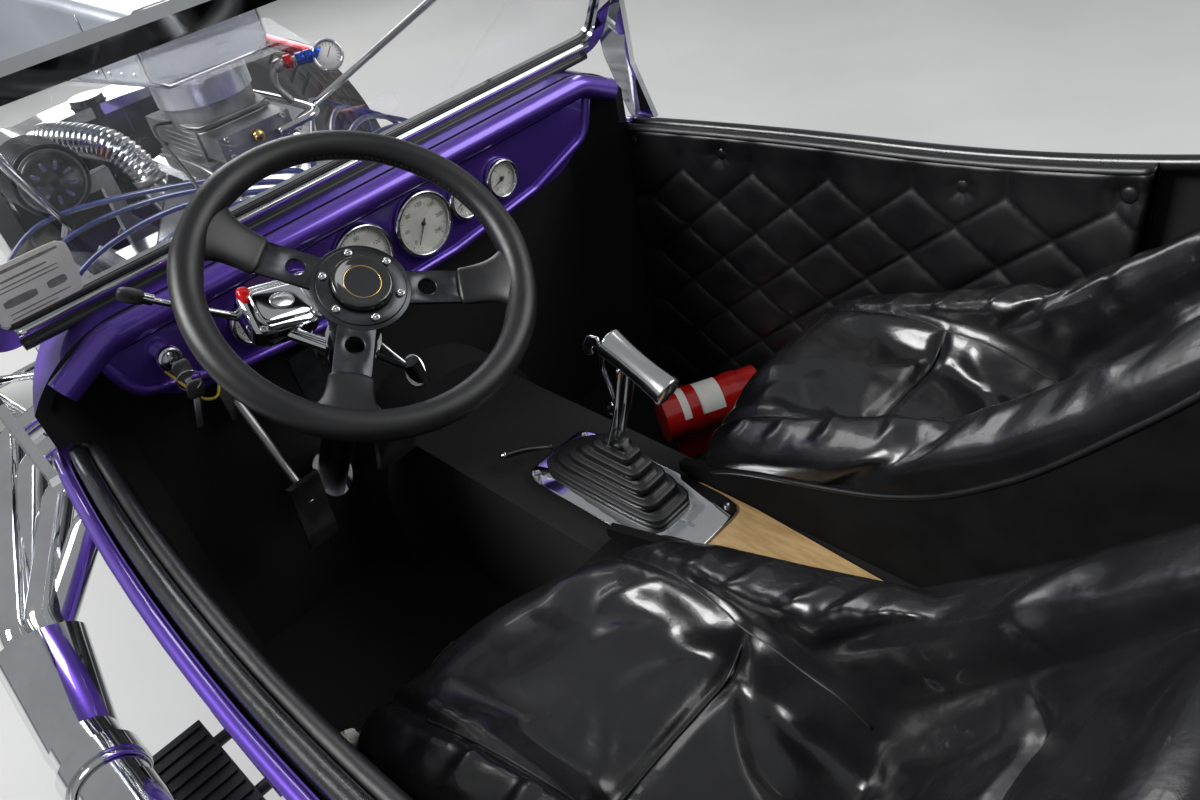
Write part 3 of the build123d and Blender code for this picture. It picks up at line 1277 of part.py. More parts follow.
CUSHION_FRONT = ((-12, 520 + 2 * FIT), (2, 521), (6, 592), (-12, 616), (-40, 622))
CUSHION_BACK = ((0, 580), (-21.4, 486.1 + FIT))
BACK_CUSHION = (
    (-22.8, 487.2),
    (-1.8, 580.6),
    (-152, 850),
    (-188, 932),
    (-202, 950),
    (-218, 957),
    (-234, 947),
    (-231.6, 925.6),
    (-107.6, SHELF_Z + 2 * FIT),
)
BOLSTER_FRONT = ((-2, SHELF_Z + FIT), (4, 596), (-12, 614), (-100, 654))
BOLSTER_BACK = (
    (68, 720),
    (-42, 800),
    (-132, 900),
    (-180, 962),
    (-207, 984),
    (-228, 978),
    (-238, 955),
    (-231.6, 925.6),
    (-107.6, SHELF_Z + FIT),
)


def seat_cushions():
    """Seat and back cushions between side bolsters that run on up the back."""
    half = SEAT_HALF - SHELL_T - BOLSTER_W - FIT
    with BuildPart() as cushions:
        for side, ahead in SEAT_FEET:
            foot = TUB_REAR_X + WALL + ahead
            near = side_plane(side * SEAT_Y + half)
            slab(near, from_ends(foot, CUSHION_FRONT, CUSHION_BACK), 2 * half)
            slab(near, from_ends(foot, (), BACK_CUSHION), 2 * half)
            for edge in (1, -1):
                outside = side * SEAT_Y + edge * (SEAT_HALF - SHELL_T - FIT)
                high = max(outside, outside - edge * (BOLSTER_W - 2 * FIT))
                slab(side_plane(high), from_ends(foot, BOLSTER_FRONT, BOLSTER_BACK), BOLSTER_W - 2 * FIT)
    keep("seat_cushions", cushions.part)


os.makedirs("parts", exist_ok=True)
body_shell()
side_trim()
frame_rails()
front_axle()
knuckle("knuckle_left", 1, True)
knuckle("knuckle_right", -1, False)
tie_x, drag_x = FRONT_AXLE_X - TIE_ARM, FRONT_AXLE_X - DRAG_ARM
link("tie_rod", (tie_x, KINGPIN_Y, TIE_ROD_Z), (tie_x, -KINGPIN_Y, TIE_ROD_Z))
link("drag_link", (drag_x, KINGPIN_Y, DRAG_LINK_Z), (PITMAN_X - DRAG_ARM, PITMAN_Y, DRAG_LINK_Z))
pitman_arm()
for side, word in ((1, "left"), (-1, "right")):
    tyre(f"tyre_front_{word}", FRONT_AXLE_X, side * FRONT_TYRE_Y, FRONT_TYRE_R, FRONT_TYRE_W)
    rim(f"rim_front_{word}", FRONT_AXLE_X, side * FRONT_TYRE_Y, FRONT_TYRE_R, FRONT_TYRE_W, side, 35)
    tyre(f"tyre_rear_{word}", REAR_AXLE_X, side * REAR_TYRE_Y, REAR_TYRE_R, REAR_TYRE_W)
    rim(f"rim_rear_{word}", REAR_AXLE_X, side * REAR_TYRE_Y, REAR_TYRE_R, REAR_TYRE_W, side, 70)
rear_axle()
dash_panel()
gauges()
windscreen_frame()
windscreen_glass()
console()
shifter()
steering_wheel()
steering_column()
signal_switch()
pedals()
extinguisher()
engine_block()
cylinder_heads()
valve_covers()
intake()
carburettor()
air_scoop()
engine_drives()
headers()
step_pads()
radiator()
grille_shell()
lamps()
rear_bed()
seat_shells()
seat_cushions()
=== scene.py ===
# %% [markdown]
# An open two-seat hot rod, dressed for its picture. The solids under it give every place and size, so each
# cell here either gives a solid its finish or stands a finer surface exactly where the solid is.
# Units are metres: +X is forward, +Y is the driver's side, +Z is up, and the ground is at zero.

import math

import bpy
import numpy as np
from mathutils import Matrix


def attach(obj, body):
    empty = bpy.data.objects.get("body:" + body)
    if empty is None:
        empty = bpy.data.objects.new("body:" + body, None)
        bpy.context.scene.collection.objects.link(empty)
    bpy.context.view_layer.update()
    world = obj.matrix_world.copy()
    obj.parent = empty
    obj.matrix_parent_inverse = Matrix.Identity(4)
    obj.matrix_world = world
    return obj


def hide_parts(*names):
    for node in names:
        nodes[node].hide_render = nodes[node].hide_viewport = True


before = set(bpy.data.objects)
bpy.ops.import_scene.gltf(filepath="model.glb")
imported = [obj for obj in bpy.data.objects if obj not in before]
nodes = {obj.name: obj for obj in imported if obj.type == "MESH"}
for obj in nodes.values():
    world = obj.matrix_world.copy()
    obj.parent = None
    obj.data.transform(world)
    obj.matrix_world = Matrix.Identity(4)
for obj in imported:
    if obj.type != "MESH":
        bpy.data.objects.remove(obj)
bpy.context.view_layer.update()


def link(thing):
    """Puts an object into the scene."""
    bpy.context.scene.collection.objects.link(thing)


# %% [markdown]
# The picture is taken from above the driver's left shoulder, looking forward and down across the cockpit.
# A camera turns with three directions: right, up and back. They are worked out from a heading, a downward
# pitch and a roll, as a photographer would describe the pose.

# %% The camera
HEADING, PITCH, ROLL = -0.679, 0.652, -0.216
LENS_MM, SENSOR_MM = 28.14, 36.0
ahead = np.array([math.cos(HEADING) * math.cos(PITCH), math.sin(HEADING) * math.cos(PITCH), -math.sin(PITCH)])
level = np.array([math.sin(HEADING), -math.cos(HEADING), 0.0])
above = np.cross(level, ahead)
right = math.cos(ROLL) * level + math.sin(ROLL) * above
up = -math.sin(ROLL) * level + math.cos(ROLL) * above
pose = np.eye(4)
pose[:3, 0], pose[:3, 1], pose[:3, 2], pose[:3, 3] = right, up, -ahead, (-1.2285, 0.54435, 1.3586)
lens = bpy.data.cameras.new("camera")
lens.lens, lens.sensor_width, lens.clip_start, lens.clip_end = LENS_MM, SENSOR_MM, 0.02, 200.0
camera = bpy.data.objects.new("camera", lens)
camera.matrix_world = Matrix(pose.tolist())
link(camera)
bpy.context.scene.camera = camera
print("camera at", [round(value, 3) for value in pose[:3, 3]])

# %% [markdown]
# A surface is a grid of points: rows run one way, columns the other. Wrapping a direction joins its last
# line to its first, and a cap closes an open end with one flat face. Every new piece below is such a grid,
# so one helper turns a grid into a mesh with a map of its own that follows the surface.

# %% Grids into meshes
def put(name, points, faces, finish, body="chassis", uv=None):
    """A mesh object from an array of points and an array or list of faces, riding on a body."""
    shape = bpy.data.meshes.new(name)
    shape.from_pydata(np.asarray(points, float).reshape(-1, 3).tolist(), [], [list(face) for face in faces])
    shape.polygons.foreach_set("use_smooth", [True] * len(shape.polygons))
    if uv is not None:
        layer = shape.uv_layers.new(name="UVMap")
        corner = np.empty(len(shape.loops), int)
        shape.loops.foreach_get("vertex_index", corner)
        layer.data.foreach_set("uv", np.asarray(uv, float).reshape(-1, 2)[corner].ravel())
    shape.materials.append(finish)
    shape.update()
    piece = bpy.data.objects.new(name, shape)
    link(piece)
    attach(piece, body)
    return piece


def quads(rows, columns, wrap_rows=False, wrap_columns=False):
    """Faces of a grid: each joins a point, its neighbour along the row, and the two on the next row."""
    row = np.arange(rows if wrap_rows else rows - 1)[:, None]
    column = np.arange(columns if wrap_columns else columns - 1)[None, :]
    after_row, after_column = (row + 1) % rows, (column + 1) % columns
    corners = (row * columns + column, row * columns + after_column, after_row * columns + after_column,
               after_row * columns + column)
    return np.stack(np.broadcast_arrays(*corners), -1).reshape(-1, 4)


def surface(name, grid, finish, body="chassis", wrap_rows=False, wrap_columns=False, caps=False, flip=False):
    """A piece from a grid of points; caps closes the first and the last row of a grid whose columns wrap."""
    grid = np.asarray(grid, float)
    rows, columns = grid.shape[:2]
    faces = quads(rows, columns, wrap_rows, wrap_columns).tolist()
    if caps:
        first, last = list(range(columns)), list(range((rows - 1) * columns, rows * columns))
        faces += [first[::-1], last]
    if flip:
        faces = [face[::-1] for face in faces]
    down = np.linspace(0, 1, rows)[:, None] + np.zeros((1, columns))
    across = np.linspace(0, 1, columns)[None, :] + np.zeros((rows, 1))
    return put(name, grid, faces, finish, body, uv=np.stack([across, down], -1))


print("a grid of 3 by 4 points has", len(quads(3, 4)), "faces")

# %% [markdown]
# Hoses, rods, rolls and piping are one idea: a ring carried along a path. Each ring stands square to the
# path, and is turned so that its first point faces a steady side direction, which keeps it from twisting.

# %% Rings along a path
def full_turn(count):
    """Even angles round a circle, in radians, the last one short of the first."""
    return np.linspace(0, 2 * np.pi, count, endpoint=False)


def curve_through(points, count):
    """Points along a smooth curve through the given ones: a cubic blend of each neighbouring four."""
    knots = np.asarray(points, float)
    knots = np.vstack([2 * knots[0] - knots[1], knots, 2 * knots[-1] - knots[-2]])
    spot = np.linspace(0, len(knots) - 3 - 1e-9, count)
    index = spot.astype(int)
    t = (spot - index)[:, None]
    a, b, c, d = knots[index], knots[index + 1], knots[index + 2], knots[index + 3]
    return 0.5 * (2 * b + (c - a) * t + (2 * a - 5 * b + 4 * c - d) * t**2 + (3 * b - a - 3 * c + d) * t**3)


def rings(path, radius, sides=16, side=(0.0, 0.0, 1.0), flat=1.0, closed=False):
    """Circle points round each path point: centre + radius times (cosine of first + sine of second)."""
    path = np.asarray(path, float)
    if closed:
        ahead = np.roll(path, -1, 0) - np.roll(path, 1, 0)
    else:
        ahead = np.gradient(path, axis=0)
    ahead /= np.linalg.norm(ahead, axis=1, keepdims=True)
    first = np.cross(ahead, np.asarray(side, float))
    first /= np.linalg.norm(first, axis=1, keepdims=True)
    second = np.cross(ahead, first)
    turn = full_turn(sides)[None, :, None]
    reach = np.broadcast_to(np.asarray(radius, float), (len(path),))[:, None, None]
    return path[:, None] + reach * (np.cos(turn) * first[:, None] + flat * np.sin(turn) * second[:, None])


def tube(name, path, radius, finish, sides=16, side=(0.0, 0.0, 1.0), flat=1.0, closed=False):
    """A ring carried along a path on the chassis, with flat ends unless it closes on itself."""
    grid = rings(path, radius, sides, side, flat, closed)
    return surface(name, grid, finish, wrap_rows=closed, wrap_columns=True, caps=not closed)


print("curve of four knots:", curve_through(np.eye(4)[:, :3], 9).shape)

# %% [markdown]
# Rims, rings, knobs and lenses are one profile turned round an axis. Small parts that never move apart are
# joined into one piece, so that the list of pieces stays short.

# %% Turned profiles and joined pieces
def lathe(name, profile, centre, axis, finish, body="chassis", sides=48, hollow=False):
    """A profile of (along, radius) pairs turned round an axis: centre + along times axis + radius round it.
    A solid profile starts and ends at the axis. A hollow one is a ring, whose last line joins its first."""
    along, radius = np.asarray(profile, float).T
    axis = np.asarray(axis, float) / np.linalg.norm(axis)
    first = np.cross(axis, (0.0, 0.0, 1.0) if abs(axis[2]) < 0.9 else (1.0, 0.0, 0.0))
    first /= np.linalg.norm(first)
    second = np.cross(axis, first)
    turn = full_turn(sides)[None, :, None]
    around = np.cos(turn) * first + np.sin(turn) * second
    reach = np.maximum(radius, 1e-5)[:, None, None]
    grid = np.asarray(centre, float) + along[:, None, None] * axis + reach * around
    return surface(name, grid, finish, body, wrap_rows=hollow, wrap_columns=True, caps=not hollow)


def merge(name, pieces):
    """One object from several that ride on the same body, its faces and finishes kept."""
    with bpy.context.temp_override(active_object=pieces[0], selected_editable_objects=pieces):
        bpy.ops.object.join()
    pieces[0].name = name
    return pieces[0]


print("shape helpers ready")

# %% [markdown]
# Most finishes here are one recipe with different numbers: two close colours that change in soft patches,
# a roughness that changes with them, and a fine grain pressed in as bumps. Patterns read Object
# coordinates, so they are as large as they are on the real thing and need no unwrapping.

# %% The recipe for a finish
def add(tree, kind, values=(), **settings):
    """A new node with its settings and its sockets' values."""
    made = tree.nodes.new("ShaderNode" + kind)
    for key, value in settings.items():
        setattr(made, key, value)
    for socket, value in dict(values).items():
        made.inputs[socket].default_value = value
    return made


def join(tree, source, output, target, socket):
    """A link from one node's output to another's input."""
    tree.links.new(source.outputs[output], target.inputs[socket])


def blank(name, rough=0.5, metal=0.0, coat=0.0, sheen=0.0):
    """A material with plain values on its shader, its node tree and its Object coordinates."""
    finish = bpy.data.materials.new(name)
    finish.use_nodes = True
    tree = finish.node_tree
    shader = tree.nodes["Principled BSDF"]
    for socket, value in (("Roughness", rough), ("Metallic", metal), ("Coat Weight", coat),
                          ("Sheen Weight", sheen)):
        shader.inputs[socket].default_value = value
    if coat:
        shader.inputs["Coat Roughness"].default_value = 0.04
    return finish, tree, shader, add(tree, "TexCoord")


print("node helpers ready")

# %% [markdown]
# A pattern is soft noise read at each point of the piece. The same value can run a pair of colours, a
# roughness and a bump, which ties them together, as wear does on the real thing. The last helper is the
# whole recipe: a finish from a few numbers.

# %% Patterns
def patches(tree, where, scale, stretch=(1, 1, 1), detail=4.0):
    """Soft noise over stretched Object coordinates."""
    spread = add(tree, "Mapping", {"Scale": stretch})
    join(tree, where, "Object", spread, "Vector")
    noise = add(tree, "TexNoise", {"Scale": scale, "Detail": detail, "Roughness": 0.6})
    join(tree, spread, "Vector", noise, "Vector")
    return noise


def mix_colours(tree, shader, noise, first, second, low=0.35, high=0.65):
    """Base colour that runs from the first to the second as the noise rises."""
    ramp = add(tree, "ValToRGB")
    ramp.color_ramp.elements[0].position, ramp.color_ramp.elements[1].position = low, high
    ramp.color_ramp.elements[0].color, ramp.color_ramp.elements[1].color = (*first, 1), (*second, 1)
    join(tree, noise, "Fac", ramp, "Fac")
    join(tree, ramp, "Color", shader, "Base Color")


def vary_rough(tree, shader, noise, low, high):
    """Roughness between two limits, following the noise."""
    span = add(tree, "MapRange", {"From Min": 0.3, "From Max": 0.7, "To Min": low, "To Max": high})
    join(tree, noise, "Fac", span, "Value")
    join(tree, span, "Result", shader, "Roughness")


def press(tree, shader, height, output, strength, depth, after=None):
    """Bumps from a height; depth is in metres. after is a bump that comes first."""
    bump = add(tree, "Bump", {"Strength": strength, "Distance": depth})
    join(tree, height, output, bump, "Height")
    if after is not None:
        join(tree, after, "Normal", bump, "Normal")
    join(tree, bump, "Normal", shader, "Normal")
    return bump


def plain(name, first, second, rough, metal=0.0, coat=0.0, size=9.0, grain=400.0, depth=0.0002, strength=0.25,
          stretch=(1, 1, 1), sheen=0.0):
    """The whole recipe: colours in patches, roughness with them, and noise pressed in."""
    finish, tree, shader, where = blank(name, metal=metal, coat=coat, sheen=sheen)
    noise = patches(tree, where, size, stretch)
    mix_colours(tree, shader, noise, first, second)
    vary_rough(tree, shader, noise, *rough)
    press(tree, shader, patches(tree, where, grain, stretch, 2.0), "Fac", strength, depth)
    return finish


print("recipe ready")

# %% [markdown]
# Bright metal is nearly a mirror, so what makes it look real is small: polishing haze that comes and goes,
# and the faint direction of the buffing wheel. Cast and bare metal are rougher and grainier.

# %% Metals
chrome = plain("chrome", (0.62, 0.63, 0.65), (0.70, 0.71, 0.72), (0.035, 0.10), 1.0, size=14, grain=160,
               strength=0.03)
polished = plain("polished_aluminium", (0.56, 0.57, 0.58), (0.68, 0.68, 0.69), (0.14, 0.26), 1.0, size=7,
                 grain=260, strength=0.06, stretch=(1, 4, 1))
# The scoop's bluish tint, in both colours, is a painted reflection of the sky, not a colour of the aluminium.
satin = plain("satin_aluminium_painted_sky", (0.50, 0.53, 0.60), (0.62, 0.65, 0.71), (0.20, 0.30), 0.72, size=4,
              grain=300, strength=0.015, stretch=(1, 5, 1))
cast = plain("cast_aluminium", (0.20, 0.20, 0.21), (0.36, 0.36, 0.37), (0.38, 0.6), 1.0, size=16, grain=700,
             strength=0.5, depth=0.0005)
steel = plain("bare_steel", (0.30, 0.30, 0.31), (0.45, 0.44, 0.43), (0.30, 0.5), 1.0, size=20, grain=500,
              strength=0.2)
dark_alloy = plain("dark_satin_alloy", (0.045, 0.047, 0.052), (0.085, 0.088, 0.095), (0.26, 0.40), 0.9,
                   size=30, grain=900, strength=0.12)
gold = plain("gold_ring", (0.62, 0.42, 0.12), (0.78, 0.56, 0.20), (0.12, 0.25), 1.0, size=60, grain=400,
             strength=0.05)
blue_anodised = plain("blue_anodised", (0.01, 0.06, 0.42), (0.02, 0.11, 0.55), (0.18, 0.28), 0.9, size=40,
                      strength=0.05)
red_anodised = plain("red_anodised", (0.50, 0.008, 0.02), (0.65, 0.02, 0.035), (0.18, 0.28), 0.9, size=40,
                     strength=0.05)
print("metals:", chrome.name, polished.name, cast.name, steel.name, dark_alloy.name)

# %% [markdown]
# The body's paint is violet with metal flake under a clear coat. Flake is a field of tiny cells whose tilt
# changes from one to the next, so each cell mirrors another part of the light.

# %% Paints
DEEP_VIOLET, LIGHT_VIOLET = (0.075, 0.030, 0.31), (0.13, 0.055, 0.46)


def flake_paint(name):
    """Violet base with tilted flakes: each cell nudges the surface under a clear coat."""
    finish, tree, shader, where = blank(name, rough=0.34, metal=0.72, coat=1.0)
    mix_colours(tree, shader, patches(tree, where, 2.5), DEEP_VIOLET, LIGHT_VIOLET, 0.2, 0.8)
    cells = add(tree, "TexVoronoi", {"Scale": 900.0})
    join(tree, where, "Object", cells, "Vector")
    press(tree, shader, cells, "Color", 0.10, 0.0002)
    return finish, tree, shader, where


violet_paint = flake_paint("violet_flake_paint")[0]
black_paint = plain("black_gloss_paint", (0.008, 0.008, 0.009), (0.018, 0.018, 0.02), (0.12, 0.22), coat=0.8,
                    strength=0.05)
engine_black = plain("engine_enamel", (0.012, 0.012, 0.014), (0.03, 0.03, 0.032), (0.25, 0.42), coat=0.3,
                     grain=260, strength=0.25)
red_paint = plain("red_bottle_paint", (0.42, 0.006, 0.006), (0.52, 0.012, 0.010), (0.16, 0.24), coat=0.7,
                  size=20, strength=0.04)
print("paints:", violet_paint.name, black_paint.name, red_paint.name)

# %% [markdown]
# The tub is painted outside and lined with black carpet inside. A face belongs to the inside when
# it looks towards the middle of the cockpit, which a dot product tells: (point - middle) . normal < 0. The
# tunnel along the floor looks away from that middle, so a box round it counts as inside too.

# %% Paint outside, carpet inside
MID_COCKPIT = (-0.65, 0.0, 0.70)
TUNNEL = (("X", -0.645, 0.524), ("Y", 0.0, 0.185), ("Z", 0.436, 0.124))  # axis, middle and half size


def tub_finish():
    """Violet outside and black pile inside, where a face looks at the cockpit's middle or is on the tunnel."""
    finish, tree, shader, where = flake_paint("violet_tub")
    away = add(tree, "VectorMath", operation="SUBTRACT")
    join(tree, where, "Object", away, 0)
    away.inputs[1].default_value = MID_COCKPIT
    facing = add(tree, "VectorMath", operation="DOT_PRODUCT")
    join(tree, away, "Vector", facing, 0)
    join(tree, where, "Normal", facing, 1)
    looks_in = add(tree, "Math", operation="LESS_THAN")
    join(tree, facing, "Value", looks_in, 0)
    looks_in.inputs[1].default_value = 0.0
    apart = add(tree, "SeparateXYZ")
    join(tree, where, "Object", apart, "Vector")
    limits = []
    for axis, centre, half in TUNNEL:
        near = add(tree, "Math", operation="COMPARE")
        join(tree, apart, axis, near, 0)
        near.inputs[1].default_value, near.inputs[2].default_value = centre, half
        limits.append(near)
    tunnel = limits[0]
    for near in limits[1:]:
        both = add(tree, "Math", operation="MULTIPLY")
        join(tree, tunnel, "Value", both, 0)
        join(tree, near, "Value", both, 1)
        tunnel = both
    inside = add(tree, "Math", operation="MAXIMUM")
    join(tree, looks_in, "Value", inside, 0)
    join(tree, tunnel, "Value", inside, 1)
    pile = add(tree, "BsdfPrincipled", {"Base Color": (0.008, 0.008, 0.009, 1), "Roughness": 0.95})
    tuft = add(tree, "TexNoise", {"Scale": 900.0, "Detail": 3.0})
    join(tree, where, "Object", tuft, "Vector")
    bump = add(tree, "Bump", {"Strength": 0.8, "Distance": 0.002})
    join(tree, tuft, "Fac", bump, "Height")
    join(tree, bump, "Normal", pile, "Normal")
    either = add(tree, "MixShader")
    join(tree, inside, "Value", either, "Fac")
    join(tree, shader, "BSDF", either, 1)
    join(tree, pile, "BSDF", either, 2)
    join(tree, either, "Shader", tree.nodes["Material Output"], "Surface")
    return finish


tub_paint = tub_finish()
print("tub finish:", len(tub_paint.node_tree.nodes), "nodes")

# %% [markdown]
# Seat vinyl is pressed with a leather grain: small rounded cells with creases between them. The creases are
# the thin lines where two cells meet, so the distance to a cell's edge makes a good height. The sheen of
# such vinyl is strong, because its skin is a smooth clear film over the grain.

# %% Vinyl, leather, rubber and board
def grained(name, first, second, rough, cell, depth, strength, coat=0.0, wrinkle=0.0):
    """Leather grain: cells cut by creases, with long soft wrinkles under them."""
    finish, tree, shader, where = blank(name, coat=coat)
    noise = patches(tree, where, 11.0)
    mix_colours(tree, shader, noise, first, second)
    vary_rough(tree, shader, noise, *rough)
    first_bump = None
    if wrinkle:
        folds = patches(tree, where, 26.0, (1, 1.6, 1), 3.0)
        first_bump = press(tree, shader, folds, "Fac", wrinkle, 0.006)
    cells = add(tree, "TexVoronoi", {"Scale": cell}, feature="DISTANCE_TO_EDGE")
    join(tree, where, "Object", cells, "Vector")
    press(tree, shader, cells, "Distance", strength, depth, first_bump)
    return finish


vinyl = grained("black_seat_vinyl", (0.006, 0.006, 0.007), (0.011, 0.011, 0.012), (0.20, 0.31), 900, 0.0004,
                0.25, wrinkle=0.14, coat=0.25)
panel_vinyl = grained("black_panel_vinyl", (0.005, 0.005, 0.006), (0.010, 0.010, 0.011), (0.30, 0.44), 900,
                      0.0004, 0.25, wrinkle=0.12)
wheel_leather = grained("wheel_leather", (0.008, 0.008, 0.009), (0.016, 0.016, 0.017), (0.27, 0.40), 1100,
                        0.0004, 0.40)
black_rubber = plain("black_rubber", (0.008, 0.008, 0.008), (0.016, 0.016, 0.017), (0.36, 0.5), size=20,
                     grain=500, strength=0.15)
tyre_rubber = plain("tyre_rubber", (0.010, 0.010, 0.011), (0.022, 0.022, 0.022), (0.62, 0.8), size=12,
                    grain=600, strength=0.35)
dull_black = plain("dull_black", (0.012, 0.012, 0.013), (0.022, 0.022, 0.024), (0.5, 0.7), size=20, grain=500,
                   strength=0.2)
# Painted shade: the seat shells are coloured darker than the seat vinyl, with their mirror turned down, so
# they read as the shade under the seats.
shell_shade_black = plain("shell_shade_black", (0.0035, 0.0035, 0.0038), (0.007, 0.007, 0.0075), (0.8, 0.92), size=20,
                    grain=700, strength=0.3)
shell_shade_black.node_tree.nodes["Principled BSDF"].inputs["Specular IOR Level"].default_value = 0.15
tan_board = plain("tan_board", (0.46, 0.29, 0.12), (0.62, 0.42, 0.20), (0.42, 0.6), size=30, grain=200,
                  strength=0.3, stretch=(1, 6, 1))
webbing = plain("grey_webbing", (0.045, 0.047, 0.052), (0.085, 0.088, 0.094), (0.6, 0.75), size=300,
                grain=900, strength=0.5, sheen=0.3)
thread = plain("pale_thread", (0.16, 0.16, 0.16), (0.26, 0.26, 0.25), (0.5, 0.6), size=200)
white_card = plain("white_card", (0.80, 0.79, 0.74), (0.86, 0.85, 0.81), (0.45, 0.6), size=60, strength=0.1)
foam = plain("torn_foam", (0.55, 0.53, 0.48), (0.72, 0.70, 0.66), (0.85, 0.95), size=120, grain=900,
             strength=0.9, depth=0.001)
yellow_wire = plain("yellow_wire", (0.75, 0.55, 0.03), (0.85, 0.65, 0.05), (0.3, 0.4), size=60)
print("soft finishes:", vinyl.name, panel_vinyl.name, wheel_leather.name)

# %% [markdown]
# Window glass passes light almost untouched and mirrors a little. Lamp lenses are the same with a tint.

# %% Glass
def glass(name, colour, rough=0.0, alpha=1.0):
    """Clear material: light passes and bends by 1.45; alpha thins what is left to see of it."""
    finish, tree, shader, where = blank(name, rough=rough)
    shader.inputs["Base Color"].default_value = (*colour, 1)
    shader.inputs["Transmission Weight"].default_value = 1.0
    shader.inputs["IOR"].default_value = 1.45
    noise = patches(tree, where, 30.0)
    vary_rough(tree, shader, noise, rough, rough + 0.02)
    shader.inputs["Alpha"].default_value = alpha
    return finish


screen_glass = glass("screen_glass", (0.95, 0.98, 0.97), 0.0, 0.07)
dial_glass = glass("dial_glass", (1.0, 1.0, 1.0), 0.0, 0.15)
lamp_glass = glass("lamp_glass", (0.97, 0.98, 1.0), 0.02)
red_lens = glass("red_lens", (0.75, 0.01, 0.01), 0.05)
red_lens.node_tree.nodes["Principled BSDF"].inputs["Transmission Weight"].default_value = 0.35
print("glass:", screen_glass.name, dial_glass.name, lamp_glass.name, red_lens.name)

# %% [markdown]
# Solids whose shape is already right keep it, and only take a finish here.

# %% Finishes on the solids
ON_SOLIDS = {
    tub_paint: ("body_shell",),
    violet_paint: ("dash_panel", "rear_bed"),
    black_paint: ("frame_rails", "rear_axle", "radiator"),
    engine_black: ("engine_block",),
    satin: ("air_scoop",),
    polished: ("intake", "valve_covers"),
    cast: ("carburettor", "cylinder_heads", "engine_drives"),
    chrome: ("front_axle", "knuckle_left", "knuckle_right", "tie_rod", "drag_link", "headers", "grille_shell",
             "lamps", "windscreen_frame", "signal_switch", "rim_front_left", "rim_front_right",
             "rim_rear_left", "rim_rear_right", "gauges"),
    steel: ("pitman_arm", "pedals"),
    dark_alloy: ("steering_column",),
    vinyl: ("seat_cushions", "side_trim"),
    shell_shade_black: ("seat_shells",),
    wheel_leather: ("steering_wheel",),
    black_rubber: ("shifter", "step_pads"),
    tyre_rubber: ("tyre_front_left", "tyre_front_right", "tyre_rear_left", "tyre_rear_right"),
    tan_board: ("console",),
    red_paint: ("extinguisher",),
    screen_glass: ("windscreen_glass",),
}
for finish, names in ON_SOLIDS.items():
    for name in names:
        nodes[name].data.materials.clear()
        nodes[name].data.materials.append(finish)
print("solids finished:", sum(len(names) for names in ON_SOLIDS.values()), "of", len(nodes))

# %% [markdown]
# Screws, stitches, ribs and bolts are one small shape set down many times. Each place has a point and three
# directions, and the small shape's own x, y and z are laid along them: point + x first + y second + z third.

# %% Many copies of one shape
def directions(third, near=(0.0, 0.0, 1.0)):
    """Three square directions for each third one; the first leans as close to near as it can."""
    third = np.atleast_2d(np.asarray(third, float))
    third = third / np.linalg.norm(third, axis=1, keepdims=True)
    near = np.broadcast_to(np.asarray(near, float), third.shape)
    first = near - (near * third).sum(1, keepdims=True) * third
    first /= np.linalg.norm(first, axis=1, keepdims=True)
    return np.stack([first, np.cross(third, first), third], 1)


def spread(name, grid, places, axes, finish, body="chassis", wrap_rows=False, caps=True):
    """One mesh of a small grid, whose columns wrap, set down at each place along its three directions."""
    grid, places = np.asarray(grid, float), np.atleast_2d(np.asarray(places, float))
    axes = np.broadcast_to(np.asarray(axes, float), (len(places), 3, 3))
    rows, columns = grid.shape[:2]
    points = places[:, None, None] + np.einsum("rck,nkj->nrcj", grid, axes)
    faces = quads(rows, columns, wrap_rows, True)
    shift = rows * columns * np.arange(len(places))
    every = (faces[None] + shift[:, None, None]).reshape(-1, 4).tolist()
    if caps:
        first, last = np.arange(columns)[::-1], np.arange((rows - 1) * columns, rows * columns)
        every += (first[None] + shift[:, None]).tolist() + (last[None] + shift[:, None]).tolist()
    return put(name, points, every, finish, body)


def turned(profile, sides=16):
    """A grid from (radius, height) pairs turned round the third direction."""
    radius, height = np.asarray(profile, float).T
    turn = full_turn(sides)
    return np.stack([radius[:, None] * np.cos(turn), radius[:, None] * np.sin(turn),
                     height[:, None] + 0 * turn], -1)


def brick(width, depth, height, edge=0.12, sides=16):
    """A grid for a block with softened upright corners and a softened top, standing on its place."""
    turn = full_turn(sides) + np.pi / sides
    c, s = np.cos(turn), np.sin(turn)
    reach = (np.abs(c) ** 7 + np.abs(s) ** 7) ** (-1 / 7)
    rows = []
    for share, level in ((1.0, 0.0), (1.0, 1 - edge), (1 - edge * 0.3, 1 - edge * 0.3), (1 - edge, 1.0)):
        rows.append(np.stack([c * reach * width / 2 * share, s * reach * depth / 2 * share,
                              level * height + 0 * c], -1))
    return np.stack(rows)


SCREW = turned(((0.0001, 0.0), (0.0042, 0.0), (0.0045, 0.0022), (0.0038, 0.0034), (0.0022, 0.0036),
                (0.0020, 0.0016), (0.0001, 0.0015)))
print("small shapes ready:", SCREW.shape)

# %% [markdown]
# The steering wheel stands square to its column, which slopes at 52.6 degrees. Everything on it is laid out
# in the wheel's own plane: across, up the wheel, and out along the column towards the driver.

# %% The steering wheel's plane
TILT = math.radians(52.6)
WHEEL_HUB = np.array([-0.438, 0.177, 0.914])
WHEEL_OUT = np.array([-math.cos(TILT), 0.0, math.sin(TILT)])
WHEEL_ACROSS = np.array([0.0, -1.0, 0.0])
WHEEL_UP = np.cross(WHEEL_OUT, WHEEL_ACROSS)
WHEEL_AXES = np.stack([WHEEL_ACROSS, WHEEL_UP, WHEEL_OUT])
SPOKE_TURNS = np.radians(np.array([10.9, 169.1, -90.0]) - 43.7)


def on_wheel(grid):
    """Points given across, up and out from the hub, put in their place."""
    return WHEEL_HUB + np.asarray(grid, float) @ WHEEL_AXES


